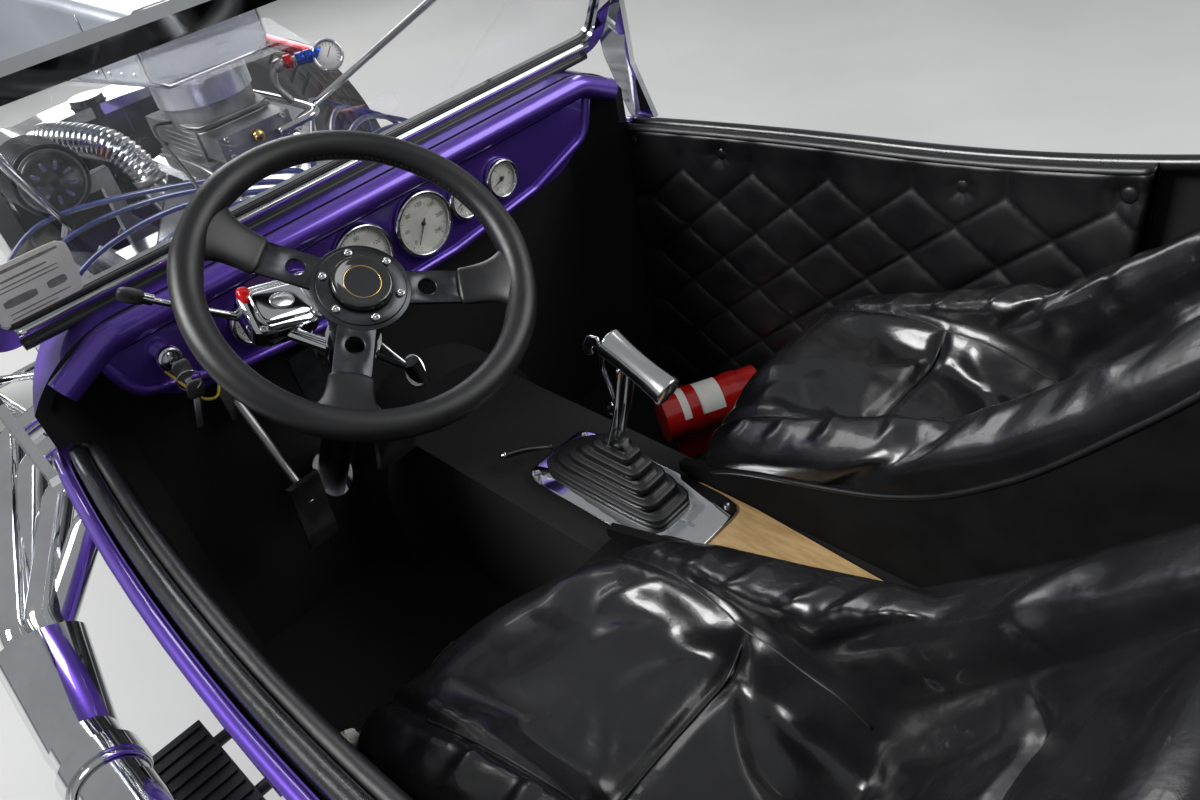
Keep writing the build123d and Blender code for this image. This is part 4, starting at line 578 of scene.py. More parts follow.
def along_spoke(grid, angle):
    """Points given outward, sideways and out, turned to a spoke and put in their place."""
    c, s = math.cos(angle), math.sin(angle)
    return on_wheel(np.asarray(grid, float) @ np.array([[c, s, 0.0], [-s, c, 0.0], [0.0, 0.0, 1.0]]))


print("steering wheel leans back", round(math.degrees(TILT), 1), "degrees at", WHEEL_HUB)

# %% [markdown]
# The grip is a torus: a circle of 15 mm carried round a circle of 160 mm. It swells a little beside the
# two upper spokes, where thumbs rest, and has a shallow valley along its inner side for the sewn seam.

# %% Leather grip
GRIP_REACH, GRIP_RISE = 0.160, 0.025
lap = full_turn(240)[:, None]
round_it = full_turn(40)[None, :]
thumbs = sum(np.exp(-((np.angle(np.exp(1j * (lap - turn - lean))) / 0.16) ** 2)) for turn in SPOKE_TURNS[:2]
             for lean in (-0.30, 0.30))
seam = np.exp(-((np.angle(np.exp(1j * (round_it - np.pi))) / 0.09) ** 2))
thick = 0.0150 + 0.0009 * thumbs - 0.0011 * seam
grip_out = GRIP_REACH + thick * np.cos(round_it)
grip = on_wheel(np.stack([grip_out * np.cos(lap), grip_out * np.sin(lap),
                          GRIP_RISE + thick * np.sin(round_it) + 0 * lap], -1))
wheel_grip = surface("wheel_grip", grip, wheel_leather, "steering_wheel", wrap_rows=True, wrap_columns=True)

# Stitches cross the seam, each a short thread that dips at both ends.
STITCH_REACH = 0.1462
stitch_turns = full_turn(150)
stitch = rings(np.stack([np.zeros(7), np.linspace(-0.0028, 0.0028, 7),
                         0.0006 * (1 - np.linspace(-1, 1, 7) ** 4) - 0.0003], -1), 0.00045, 6, (0, 0, 1))
outward = np.stack([-np.cos(stitch_turns), -np.sin(stitch_turns), 0 * stitch_turns], -1)
slanted = np.stack([-0.35 * np.sin(stitch_turns), 0.35 * np.cos(stitch_turns), 1 + 0 * stitch_turns], -1)
slanted /= np.linalg.norm(slanted, axis=1, keepdims=True)
stitch_axes = np.stack([np.cross(slanted, outward), slanted, outward], 1)
stitch_spots = on_wheel(np.stack([STITCH_REACH * np.cos(stitch_turns), STITCH_REACH * np.sin(stitch_turns),
                                  GRIP_RISE + 0 * stitch_turns], -1))
wheel_thread = spread("wheel_thread", stitch, stitch_spots, stitch_axes @ WHEEL_AXES, thread,
                      "steering_wheel")
print("grip:", wheel_grip.name, "stitches:", len(stitch_turns))

# %% [markdown]
# Each spoke is a flat bar with a round hole. Seen from its hole it is a ring: the inner edge is the hole's
# circle and the outer edge is a soft-cornered rectangle, whose reach in a direction is the sum of high
# powers of its two sides. The ring is closed over its thickness, with small bevels on every edge.

# %% Spokes
HOLE_AT, HOLE_R = 0.066, 0.0092
turn = full_turn(72)
c, s = np.cos(turn), np.sin(turn)
reach = ((np.abs(c) / np.where(c > 0, 0.044, 0.030)) ** 8 + (np.abs(s) / 0.019) ** 8) ** (-1 / 8)
plate_rows = []
for share, inset, level in ((1, 0.0, 0.0006), (1, 0.0, 0.0036), (1, 0.0009, 0.0044), (0, 0.0009, 0.0044),
                            (0, 0.0, 0.0036), (0, 0.0, 0.0004)):
    edge = reach - inset if share else HOLE_R + inset
    plate_rows.append(np.stack([HOLE_AT + edge * c, edge * s, level + 0 * c], -1))
plate = np.stack(plate_rows)
spoke_parts = [surface(f"spoke_{index}", along_spoke(plate, angle), dark_alloy, "steering_wheel",
                       wrap_rows=True, wrap_columns=True)
               for index, angle in enumerate(SPOKE_TURNS)]
print("spokes:", len(spoke_parts))

# %% [markdown]
# Leather ends grow out of the spokes and spread where they meet the grip: half width, half depth and rise
# grow with powers of the share of the way outward, and the section is a circle squared off a little.

# %% Leather ends
out = np.linspace(0, 1, 26)[:, None]
across_pad = 0.0215 + 0.003 * out + 0.020 * out**5
deep_pad = 0.0062 + 0.0045 * out
roundness = full_turn(36)[None, :]
start_in = np.sqrt(np.clip(out / 0.06, 0, 1)) * 0.25 + 0.75
pad_c = np.sign(np.cos(roundness)) * np.abs(np.cos(roundness)) ** 0.75
pad_s = np.sign(np.sin(roundness)) * np.abs(np.sin(roundness)) ** 0.85
rise = 0.0035 + 0.0215 * out**1.6
pad = np.stack([0.098 + 0.053 * out + 0 * roundness, across_pad * start_in * pad_c,
                rise + deep_pad * start_in * pad_s], -1)
spoke_parts += [surface(f"spoke_pad_{index}", along_spoke(pad, angle), wheel_leather, "steering_wheel",
                        wrap_columns=True, caps=True)
                for index, angle in enumerate(SPOKE_TURNS)]
print("leather ends:", len(SPOKE_TURNS), pad.shape)

# %% [markdown]
# The hub is a pile of turned rings: a disc, a raised ring with six screws, a button with a gold line, and
# a black boot behind them down to the column.

# %% Hub and button
hub_disc = lathe("hub_disc", ((0.0, 0.001), (0.0, 0.0490), (0.0038, 0.0500), (0.0050, 0.0490),
                              (0.0050, 0.001)), WHEEL_HUB, WHEEL_OUT, dark_alloy, "steering_wheel", 72)
hub_ring = lathe("hub_ring", ((0.0048, 0.0275), (0.0048, 0.0445), (0.0062, 0.0452), (0.0074, 0.0440),
                              (0.0078, 0.0330), (0.0078, 0.0275)),
                 WHEEL_HUB, WHEEL_OUT, dark_alloy, "steering_wheel", 72, hollow=True)
button = lathe("horn_button", ((0.005, 0.001), (0.005, 0.0300), (0.0145, 0.0305), (0.0172, 0.0290),
                               (0.0176, 0.0262), (0.0160, 0.0240), (0.0152, 0.0150), (0.0150, 0.0006)),
               WHEEL_HUB, WHEEL_OUT, black_paint, "steering_wheel", 72)
button_ring = lathe("button_ring", ((0.0150, 0.0175), (0.0157, 0.0178), (0.0158, 0.0186), (0.0152, 0.0190)),
                    WHEEL_HUB, WHEEL_OUT, gold, "steering_wheel", 64, hollow=True)
SCREW_REACH, DISC_TOP = 0.0385, 0.0076
screw_turns = np.radians(np.arange(6) * 60.0 + 12.0)
screw_spots = on_wheel(np.stack([SCREW_REACH * np.cos(screw_turns), SCREW_REACH * np.sin(screw_turns),
                                 DISC_TOP + 0 * screw_turns], -1))
hub_screws = spread("hub_screws", SCREW, screw_spots, WHEEL_AXES, chrome, "steering_wheel")
boot = lathe("wheel_boot", ((-0.0575, 0.001), (-0.0575, 0.0300), (-0.0500, 0.0305), (-0.0100, 0.0440),
                            (-0.0010, 0.0455), (0.0004, 0.0440), (0.0004, 0.001)),
             WHEEL_HUB, WHEEL_OUT, dull_black, "steering_wheel", 56)
wheel_centre = merge("wheel_centre",
                     spoke_parts + [hub_disc, hub_ring, button, button_ring, hub_screws, boot])
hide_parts("steering_wheel")
print("steering wheel:", len(wheel_grip.data.vertices), "points on the grip")

# %% [markdown]
# Each seat is one stuffed skin. Its side outline is known twice, with as many points: along the middle of
# the seat, and along the crest of the side bolsters. Across the seat the skin runs smoothly from one to the
# other, P(s, y) = (1 - w) C(s) + w B(s), where w is a smooth step of the distance from the middle, and it
# rounds over at both edges like a quarter ellipse.

# %% A seat's skin
MM = 0.001
SEAT_FRONT = -600.0
SEAT_MIDDLE, SEAT_REACH = 251.0, 187.5
SEATS = (("driver", 1, -1014.0, 90.0, 148.0, 8.0), ("passenger", -1, -958.0, 34.0, 163.0, 55.0))
FROM_FRONT = (((-10, 526), (-4, 564)), ((2, 556), (3, 578)), ((4, 592), (3, 598)), ((-12, 618), (-14, 618)),
              ((-42, 629), (-58, 638)), ((-130, 631), (-130, 662)))
FROM_FOOT = (((150, 624), (150, 694)), ((60, 604), (68, 726)), ((-1, 586), (22, 758)), ((-32, 640),
             (-18, 786)), ((-60, 690), (-50, 818)), ((-105, 770), (-84, 850)), ((-150, 850), (-140, 915)),
             ((-186, 928), (-182, 966)), ((-202, 949), (-206, 984)), ((-218, 955), (-228, 977)), ((-232, 945),
             (-237, 955)), ((-231, 925), (-230, 925)), ((-112, 570), (-110, 567)), ((-25, 494), (-96, 565)))


def smooth_step(value):
    """0 below 0, 1 above 1, and 3 v^2 - 2 v^3 between them."""
    value = np.clip(value, 0, 1)
    return value * value * (3 - 2 * value)


def seat_outlines(foot, count):
    """The middle's and the bolsters' outlines as matching points, evenly spread, with blurred corners."""
    knots = [[(SEAT_FRONT + x, z) for x, z in pair] for pair in FROM_FRONT]
    knots += [[(foot + x, z) for x, z in pair] for pair in FROM_FOOT]
    loop = np.array(knots + knots[:1], float)
    run = np.concatenate([[0], np.cumsum(np.linalg.norm(np.diff(loop, axis=0), axis=2).mean(1))])
    even = np.linspace(0, run[-1], count, endpoint=False)
    lines = np.array([[np.interp(even, run, loop[:, which, axis]) for axis in (0, 1)] for which in (0, 1)])
    lines = lines.transpose(0, 2, 1)
    for _ in range(4):
        lines = (np.roll(lines, 1, 1) + 2 * lines + np.roll(lines, -1, 1)) / 4
    return lines


def seat_grid(side, foot, cut):
    """Points of the skin: the two outlines blended across, edges drawn in by 19 (1 - sqrt(1 - u^4)), the
    middle crowned, and the front's inner corner drawn back by up to cut."""
    middle, crest = seat_outlines(foot, 280)
    u = np.sin(np.linspace(-np.pi / 2, np.pi / 2, 45))[:, None, None]
    off = np.abs(u) * SEAT_REACH
    weight = smooth_step((off - 72) / 52)
    flat = (1 - weight) * middle[None] + weight * crest[None]
    ahead = np.roll(flat, -1, 1) - np.roll(flat, 1, 1)
    normal = np.stack([ahead[..., 1], -ahead[..., 0]], -1) / np.linalg.norm(ahead, axis=2, keepdims=True)
    area = np.sum(middle[:, 0] * np.roll(middle[:, 1], -1) - np.roll(middle[:, 0], -1) * middle[:, 1])
    crown = 6 * np.clip(1 - (off / 94) ** 2, 0, 1) + 5 * np.clip(1 - ((off - 142) / 46) ** 2, 0, 1)
    flat = flat - (19.0 * (1 - np.sqrt(np.clip(1 - np.abs(u) ** 4, 0, 1))) - crown) * normal * np.sign(area)
    x, z = flat[..., 0], flat[..., 1]
    y = side * SEAT_MIDDLE + u[..., 0] * SEAT_REACH + 0 * x
    back_by = cut * np.clip((400 - np.abs(y)) / 330, 0, 1) ** 2.2
    x = x - back_by * np.clip((x + 866) / 266, 0, 1) * smooth_step((z - 522) / 50)
    grid = np.stack([x, y, z], -1)
    return (grid if area < 0 else grid[:, ::-1]) * MM


print("skin grid:", seat_grid(*SEATS[0][1:4]).shape)

# %% [markdown]
# The skin is sewn from panels. Seams part the bolsters from the middle, cross the cushion, and cross each
# bolster where it turns up the back. The distance to the nearest seam is all that is needed to press it in.

# %% Seams
SEAM_WIDE, SEAM_DEEP = 7.5, 9.0


def seam_distance(points, side, foot, cross, turn_up):
    """Distance in millimetres from the nearest seam, from a point's place in the seat."""
    x, y, z = points.T / MM
    off = np.abs(side * y - SEAT_MIDDLE)
    line = 106 + 27 * np.clip((x - foot - cross) / 192, 0, 1) - 10 * np.clip((foot + cross - x) / 150, 0, 1)
    sides = np.abs(off - line)
    across = np.where((off < line) & (z > 560), np.abs(x - foot - cross), 1e3)
    turn = np.where(off > line, np.abs((x - foot - turn_up) * 0.75 + (z - 760 + (turn_up - 8) * 0.6) * 0.66),
                    1e3)
    back = np.where((off < line) & (x < foot - 60), np.abs(z - 795), 1e3)
    return np.minimum(np.minimum(sides, across), np.minimum(turn, back))


print("seams:", SEAM_WIDE, "mm wide")

# %% [markdown]
# Folds start where two seams meet. Each is a low ridge along a short line, with height
# h exp(-(distance / width)^2), fading towards both ends. A row is a line's two ends, height and width.

# %% Folds
FOLDS_FLAT = ((162, -98, 268, -22, 5.5, 15), (158, -84, 205, 18, 4.5, 14), (136, -98, 40, -44, 5.5, 15),
              (138, -74, 52, 6, 4.5, 13), (352, -118, 318, -12, 4.0, 20), (300, 104, 216, 30, 4.5, 17),
              (166, 92, 236, 8, 4.5, 13), (134, 94, 46, 36, 5.0, 14), (250, -104, 300, -60, 3.5, 12),
              (20, -90, 96, -64, 4.0, 11), (18, 92, 84, 58, 4.0, 11), (120, -112, 84, -160, 4.5, 11),
              (84, -108, 46, -158, 4.0, 10), (180, -114, 164, -168, 3.5, 10), (238, -122, 232, -172, 3.0, 11),
              (290, -128, 296, -170, 3.0, 10), (118, 112, 78, 160, 4.5, 11), (182, 114, 160, 166, 3.5, 11),
              (250, 122, 236, 170, 3.5, 12), (60, 108, 20, 150, 4.0, 11))
FOLDS_UPRIGHT = ((606, -90, 690, -30, 5.5, 14), (610, 88, 700, 26, 5.5, 14), (780, -92, 700, -50, 4.5, 13),
                 (782, 92, 706, 44, 4.5, 13), (806, -90, 880, -40, 4.5, 14), (804, 90, 876, 34, 4.5, 14),
                 (640, -104, 700, -150, 4.5, 13), (730, -102, 790, -156, 4.0, 13),
                 (830, -100, 880, -152, 4.0, 13), (650, 104, 712, 152, 4.5, 13),
                 (742, 102, 800, 156, 4.0, 13), (835, 100, 885, 150, 4.0, 13))


def ridges(first, second, folds):
    """Sum of ridges over two coordinates: each fold runs from one pair of values to another."""
    height = np.zeros(len(first))
    for a0, b0, a1, b1, tall, wide in folds:
        length = math.hypot(a1 - a0, b1 - b0)
        t = ((first - a0) * (a1 - a0) + (second - b0) * (b1 - b0)) / length**2
        bend = 0.12 * length * np.sin(np.pi * np.clip(t, 0, 1))
        gap = ((first - a0) * (b1 - b0) - (second - b0) * (a1 - a0)) / length - bend
        beyond = np.maximum(0, np.abs(t - 0.5) - 0.5) * length
        fade = smooth_step(1.15 - np.abs(2 * t - 1) ** 3)
        height += tall * fade * np.exp(-((gap**2 + beyond**2) / (wide * (0.6 + 0.6 * np.clip(t, 0, 1))) ** 2))
    return height


def where_points(mesh, what="co"):
    """A mesh's points or point normals as one array."""
    source = mesh.vertices if what == "co" else mesh.vertex_normals
    values = np.empty(3 * len(mesh.vertices))
    source.foreach_get("co" if what == "co" else "vector", values)
    return values.reshape(-1, 3)


def sew(piece, side, foot, cross, turn_up):
    """Presses the seams in and raises the folds along the skin's normals; returns how near a seam each is."""
    points, normals = where_points(piece.data), where_points(piece.data, "normal")
    near = np.exp(-((seam_distance(points, side, foot, cross, turn_up) / SEAM_WIDE) ** 2))
    x, y, z = points.T / MM
    over = side * y - SEAT_MIDDLE
    lying = smooth_step((x - foot + 4) / 20) * (z > 560)
    standing = smooth_step((foot + 4 - x) / 20) * (normals[:, 0] > 0)
    height = (lying * ridges(x - foot, over, FOLDS_FLAT) + standing * ridges(z, over, FOLDS_UPRIGHT)
              - SEAM_DEEP * near)
    piece.data.vertices.foreach_set("co", (points + (height * MM)[:, None] * normals).ravel())
    piece.data.update()
    return near


print("folds:", len(FOLDS_FLAT), "lying,", len(FOLDS_UPRIGHT), "upright")

# %% [markdown]
# Vinyl over foam is a skin under pressure, cut a little larger than the foam and held down along its seams.
# So the sewn skin, rebuilt from small even faces, goes through a cloth simulation that blows it up from
# inside while the seams are held. The swelling is evened between neighbours and brought back to a limit,
# and what is left is a set of soft creases that run towards the seams.

# %% Stuffing a seat
CLOTH_FRAMES, SKIN_FACE = 20, 0.0070
GROWTH, PUSH, MOST_SWELL, EVENING_ROUNDS = 0.006, 1.6, 0.005, 5


def even_faces(piece, size):
    """The piece's mesh rebuilt as even faces of a size."""
    remesh = piece.modifiers.new("even", "REMESH")
    remesh.mode, remesh.voxel_size, remesh.use_smooth_shade = "VOXEL", size, True
    made = bpy.data.meshes.new_from_object(piece.evaluated_get(bpy.context.evaluated_depsgraph_get()))
    piece.modifiers.clear()
    piece.data = made


def prepare(piece, held, growth, push):
    """Cloth on a piece: held points stay, the skin is growth larger than its form, push is the pressure."""
    group = piece.vertex_groups.new(name="held")
    group.add(np.flatnonzero(held).tolist(), 1.0, "REPLACE")
    cloth = piece.modifiers.new("stuffing", "CLOTH")
    cloth.settings.quality, cloth.settings.mass, cloth.settings.air_damping = 6, 0.25, 2.0
    cloth.settings.tension_stiffness, cloth.settings.compression_stiffness = 18.0, 18.0
    cloth.settings.shear_stiffness, cloth.settings.bending_stiffness = 6.0, 12.0
    cloth.settings.use_pressure, cloth.settings.uniform_pressure_force = True, push
    cloth.settings.shrink_min = -growth
    cloth.settings.effector_weights.gravity = 0.0
    cloth.settings.vertex_group_mass = "held"
    cloth.point_cache.frame_start, cloth.point_cache.frame_end = 1, CLOTH_FRAMES


print("cloth frames:", CLOTH_FRAMES)

# %% [markdown]
# Raw cloth is too busy for thick vinyl. Each point's move is blended with its neighbours' moves a few times,
# so the small wrinkles go and the long soft creases stay.

# %% Evening the creases
def evened(mesh, moves, rounds):
    """Each point's move blended with its neighbours' a few times, which leaves the long soft creases."""
    ends = np.empty(2 * len(mesh.edges), int)
    mesh.edges.foreach_get("vertices", ends)
    first, second = ends.reshape(-1, 2).T
    count = np.maximum(np.bincount(ends, minlength=len(moves)), 1)[:, None]
    for _ in range(rounds):
        total = np.zeros_like(moves)
        np.add.at(total, first, moves[second])
        np.add.at(total, second, moves[first])
        moves = 0.45 * moves + 0.55 * total / count
    return moves


def stuff(pieces, limit):
    """Runs the prepared cloth to its last frame, then keeps each point's move, evened, up to a limit."""
    starts = [where_points(piece.data) for piece in pieces]
    for step in range(1, CLOTH_FRAMES + 1):
        bpy.context.scene.frame_set(step)
    shapes = [where_points(piece.evaluated_get(bpy.context.evaluated_depsgraph_get()).data)
              for piece in pieces]
    for piece, start, shape in zip(pieces, starts, shapes):
        move = evened(piece.data, shape - start, EVENING_ROUNDS)
        far = np.linalg.norm(move, axis=1, keepdims=True)
        move *= np.minimum(1.0, limit / np.maximum(far, 1e-9))
        piece.modifiers.clear()
        piece.vertex_groups.clear()
        piece.data.vertices.foreach_set("co", (start + move).ravel())
        piece.data.update()
        print(piece.name, "moved up to", round(float(np.linalg.norm(move, axis=1).max()) * 1000, 1), "mm")
    bpy.context.scene.frame_set(1)


def finer(piece):
    """One subdivision of a finished skin."""
    smooth = piece.modifiers.new("finer", "SUBSURF")
    smooth.levels = smooth.render_levels = 1
    piece.data = bpy.data.meshes.new_from_object(piece.evaluated_get(bpy.context.evaluated_depsgraph_get()))
    piece.modifiers.clear()


print("swelling is kept under", MOST_SWELL, "m")

# %% [markdown]
# Both seats take the same steps: grid, even faces, seams, cloth. They differ in where the cushion meets the
# back, how far the front's inner corner is drawn back, and where the seam across the cushion lies.

# %% The two seats
skins = []
for who, side, foot, cut, cross, turn_up in SEATS:
    skin = surface(f"{who}_seat_skin", seat_grid(side, foot, cut), vinyl, wrap_columns=True, caps=True)
    even_faces(skin, SKIN_FACE)
    near = sew(skin, side, foot, cross, turn_up)
    x, y, z = where_points(skin.data).T / MM
    held = (near > 0.7) | (z < 550) | (np.abs(side * y - SEAT_MIDDLE) > 180)
    prepare(skin, held, GROWTH, PUSH)
    skins.append(skin)
stuff(skins, MOST_SWELL)
for skin in skins:
    finer(skin)
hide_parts("seat_cushions")
print("skins:", len(skins), "points:", sum(len(skin.data.vertices) for skin in skins))

# %% [markdown]
# A thin welt is sewn into each seam of a cushion: it follows the seam in plan and lies on the sewn skin.

# %% Welts
def on_skin(skin, plan):
    """Points of a plan line laid on the upper side of a skin, from the nearest of its points."""
    points, normals = where_points(skin.data), where_points(skin.data, "normal")
    top = points[(normals[:, 2] > 0.35) & (points[:, 2] > 0.560)]
    level = np.array([top[np.argsort(((top[:, :2] - spot) ** 2).sum(1))[:4], 2].mean() for spot in plan])
    level = np.convolve(np.pad(level, 4, mode="edge"), np.ones(9) / 9, mode="valid")
    return np.column_stack([plan, level + 0.0006])


for skin, (who, side, foot, cut, cross, turn_up) in zip(skins, SEATS):
    reach = np.linspace(14, 330, 90)
    bow = 106 + 27 * np.clip((reach - cross) / 192, 0, 1) - 10 * np.clip((cross - reach) / 150, 0, 1)
    lines = [np.column_stack([foot + reach, side * (SEAT_MIDDLE + edge * bow)]) * MM for edge in (-1, 1)]
    lines.append(np.column_stack([np.full(60, foot + cross),
                                  side * (SEAT_MIDDLE + np.linspace(-104, 104, 60))]) * MM)
    welts = [tube(f"{who}_welt_{index}", on_skin(skin, line), 0.0013, panel_vinyl, sides=8)
             for index, line in enumerate(lines)]
    merge(f"{who}_welts", welts)
print("welts on each seat:", len(lines))

# %% [markdown]
# A round cord is sewn into the lower edge of each cover, where it meets the shell's cheek. On the driver's
# seat the cover has come away from the foam at its outer front corner, so a little torn foam shows.

# %% Piping and the torn corner
PIPING_R = 0.0032
TORN_CORNER = np.array([-0.598, 0.428, 0.572])
CHEEK = ((68, 668), (-42, 746), (-132, 850), (-188, 926))
for who, side, foot, cut, cross, turn_up in SEATS:
    for edge in (-1, 1):
        y = side * (SEAT_MIDDLE + edge * 188.5)
        inner = max(-edge, 0)
        route = [(SEAT_FRONT - 10 - inner * cut * 0.55, y - side * edge * 34, 578),
                 (SEAT_FRONT - 34 - inner * cut * 0.5, y - side * edge * 3, 584), (SEAT_FRONT - 110, y, 610)]
        route += [(foot + x, y, z + 3) for x, z in CHEEK]
        cord = tube(f"{who}_piping_{'inner' if edge < 0 else 'outer'}",
                    curve_through(np.array(route) * MM, 90), PIPING_R, panel_vinyl, sides=10)
spread_of = np.random.default_rng(7)
lumps = []
for spot in range(7):
    middle = TORN_CORNER + spread_of.uniform(-1, 1, 3) * (0.010, 0.006, 0.020)
    polar, around = np.meshgrid(np.linspace(0.05, np.pi - 0.05, 14),
                                full_turn(20), indexing="ij")
    reach = spread_of.uniform(0.006, 0.011) * (1 + 0.18 * np.sin(5 * around + spot) * np.sin(4 * polar))
    ball = np.stack([reach * np.sin(polar) * np.cos(around), reach * np.sin(polar) * np.sin(around),
                     reach * np.cos(polar)], -1)
    lumps.append(surface(f"foam_{spot}", middle + ball, foam, wrap_columns=True, caps=True, flip=True))
torn = merge("torn_foam", lumps)
print("piping:", 2 * len(SEATS), "foam faces:", len(torn.data.polygons))

# %% [markdown]
# The tub's sides are one long arc in plan and rise behind the seats. Three places on that arc fix it, so a
# small function gives its height over a base line, and the same function gives the rising top edge.

# %% The tub's edge
def arc_height(three, at):
    """Height at a place of the circle through three points, on the side of its middle point."""
    (x1, y1), (x2, y2), (x3, y3) = three
    d = 2 * (x1 * (y2 - y3) + x2 * (y3 - y1) + x3 * (y1 - y2))
    s1, s2, s3 = x1 * x1 + y1 * y1, x2 * x2 + y2 * y2, x3 * x3 + y3 * y3
    cx = (s1 * (y2 - y3) + s2 * (y3 - y1) + s3 * (y1 - y2)) / d
    cy = (s1 * (x3 - x2) + s2 * (x1 - x3) + s3 * (x2 - x1)) / d
    reach = np.sqrt((x1 - cx) ** 2 + (y1 - cy) ** 2 - (np.asarray(at, float) - cx) ** 2)
    return cy + reach if y2 > cy else cy - reach


PLAN = ((-260.0, 484.0), (-700.0, 518.0), (-1170.0, 497.0))
RISE = ((-649.0, 813.0), (-893.0, 837.0), (-1240.0, 925.0))


def edge_height(x):
    """The edge is nearly level up to the seats, then follows the rising arc."""
    x = np.asarray(x, float)
    level = 797.0 + 16.0 * (-195.0 - x) / 454.0
    return np.where(x >= RISE[0][0], level, arc_height(RISE, np.minimum(x, RISE[0][0])))


def half_width(x, z):
    """Outside half width: the plan arc, less the side's lean down to the floor."""
    return arc_height(PLAN, x) - 14.0 * np.clip(797.0 - z, 0, None) / 497.0


print("edge over the seats:", round(float(edge_height(-900.0)), 1), "mm high")

# %% [markdown]
# The padded panels are sewn in diamonds that hang from upright pleats. In slanted coordinates a along and b
# up, the diamonds' seams are where a + b or a - b is a whole number, so the square root of the two sines'
# product is a puffed quilt: zero on each seam and full between them. Above the diamonds b counts as zero,
# which leaves the upright pleats. Four covered buttons pull small hollows into it.

# %% Quilted side panels
BUTTONS = np.array([(-232.0, 779.0), (-389.0, 775.0), (-749.0, 787.0), (-938.0, 817.0)])


def quilt(x, z):
    """Depth under the panel's plane: seams and buttons deepest."""
    a = np.minimum(x + 320.0, 58.0) / 121.0
    b = np.minimum((z - 744.0 - 0.085 * (-320.0 - x)) / 97.0, 0.0)
    puff = np.sqrt(np.abs(np.sin(np.pi * (a + b)) * np.sin(np.pi * (a - b))))
    puff = 1 - (1 - puff) ** 2.2
    plain_top = np.clip((z - edge_height(x) + 34.0) / 26.0, 0, 1)
    puff = puff + (1 - puff) * plain_top * 0.6
    depth = 7.5 * (1 - puff)
    for bx, bz in BUTTONS:
        away = np.hypot(x - bx, z - bz)
        pleats = 1 + 0.15 * np.cos(7 * np.arctan2(z - bz, x - bx))
        depth = depth + 7.0 * np.exp(-((away / 17.0) ** 2)) * pleats
    return depth


PANEL_FOOT = 324.0


def panel_grid(side):
    """For each place along: down the inner face, out under it, up the back, and round over the top roll."""
    x = np.linspace(-222.0, -958.0, 250)[:, None]
    top = edge_height(x)
    face = np.linspace(0, 1, 210)[None, :] ** 0.8
    z_face = (top - 1.0) + (PANEL_FOOT - top + 1.0) * face
    inward = 51.3 - quilt(x, z_face) - 4.0 * np.exp(-(((z_face - PANEL_FOOT) / 12.0) ** 2))
    curl = np.linspace(np.pi, 0, 18)[None, :-1]
    roll_z, roll_in = top - 1.0 + 8.0 * np.sin(curl), 43.3 - 8.0 * np.cos(curl) + 0 * x
    back_z = np.concatenate([PANEL_FOOT + 0 * x, PANEL_FOOT + 0 * x, top - 7.0, top - 6.0], 1)
    back_in = np.concatenate([47.0 + 0 * x, 15.0 + 0 * x, 15.0 + 0 * x, 35.0 + 0 * x], 1)
    z = np.concatenate([z_face, back_z, roll_z], 1)
    q = np.concatenate([inward, back_in, roll_in], 1)
    near_end = np.minimum(x + 958.0, -222.0 - x) / 10.0
    q = q - 9.0 * (1 - np.sqrt(np.clip(1 - (1 - np.clip(near_end, 0, 1)) ** 2, 0, 1))) * (q > 30)
    grid = np.stack([x + 0 * z, side * (half_width(x, z) - q), z], -1) * MM
    return grid if side > 0 else grid[:, ::-1]


print("panel grid:", panel_grid(1).shape)

# %% [markdown]
# Each side gets its panel, a round padded roll along its edge, four covered buttons and the violet lip that
# the tub's skin turns over.

# %% Panels, edge rolls and buttons
for side, where in ((1, "left"), (-1, "right")):
    surface(f"side_panel_{where}", panel_grid(side), panel_vinyl, wrap_columns=True,
                               caps=True)
    stations = np.linspace(-226.0, -1100.0, 120)
    edge = np.stack([stations, side * (half_width(stations, edge_height(stations)) - 27.0),
                     edge_height(stations) + 2.5], -1)
    tube(f"edge_roll_{where}", edge * MM, 0.009, vinyl, sides=24)
    cap_at = np.stack([BUTTONS[:, 0], side * (half_width(BUTTONS[:, 0], BUTTONS[:, 1]) - 51.3 + 8.5),
                       BUTTONS[:, 1]], -1) * MM
    cap_shape = turned(((0.0001, -0.004), (0.0095, -0.004), (0.0105, -0.001), (0.0100, 0.0018),
                        (0.0070, 0.0036), (0.0001, 0.0044)), 24)
    spread(f"panel_buttons_{where}", cap_shape, cap_at, directions((0, -side, 0)),
                              panel_vinyl)
    lip_x = np.linspace(-196.0, -1168.0, 120)
    lip = np.stack([lip_x, side * (half_width(lip_x, edge_height(lip_x)) - 7.2), edge_height(lip_x) - 4.6],
                   -1)
    lip_piece = tube(f"tub_lip_{where}", lip * MM, 0.0071, violet_paint, sides=20)
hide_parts("side_trim")

# %% [markdown]
# A dial is a dished ring round a pale face with ticks, a few plain numbers, a needle and a glass. All six
# are the same parts in two sizes, turned round the dial's own axis, which points back at the driver.

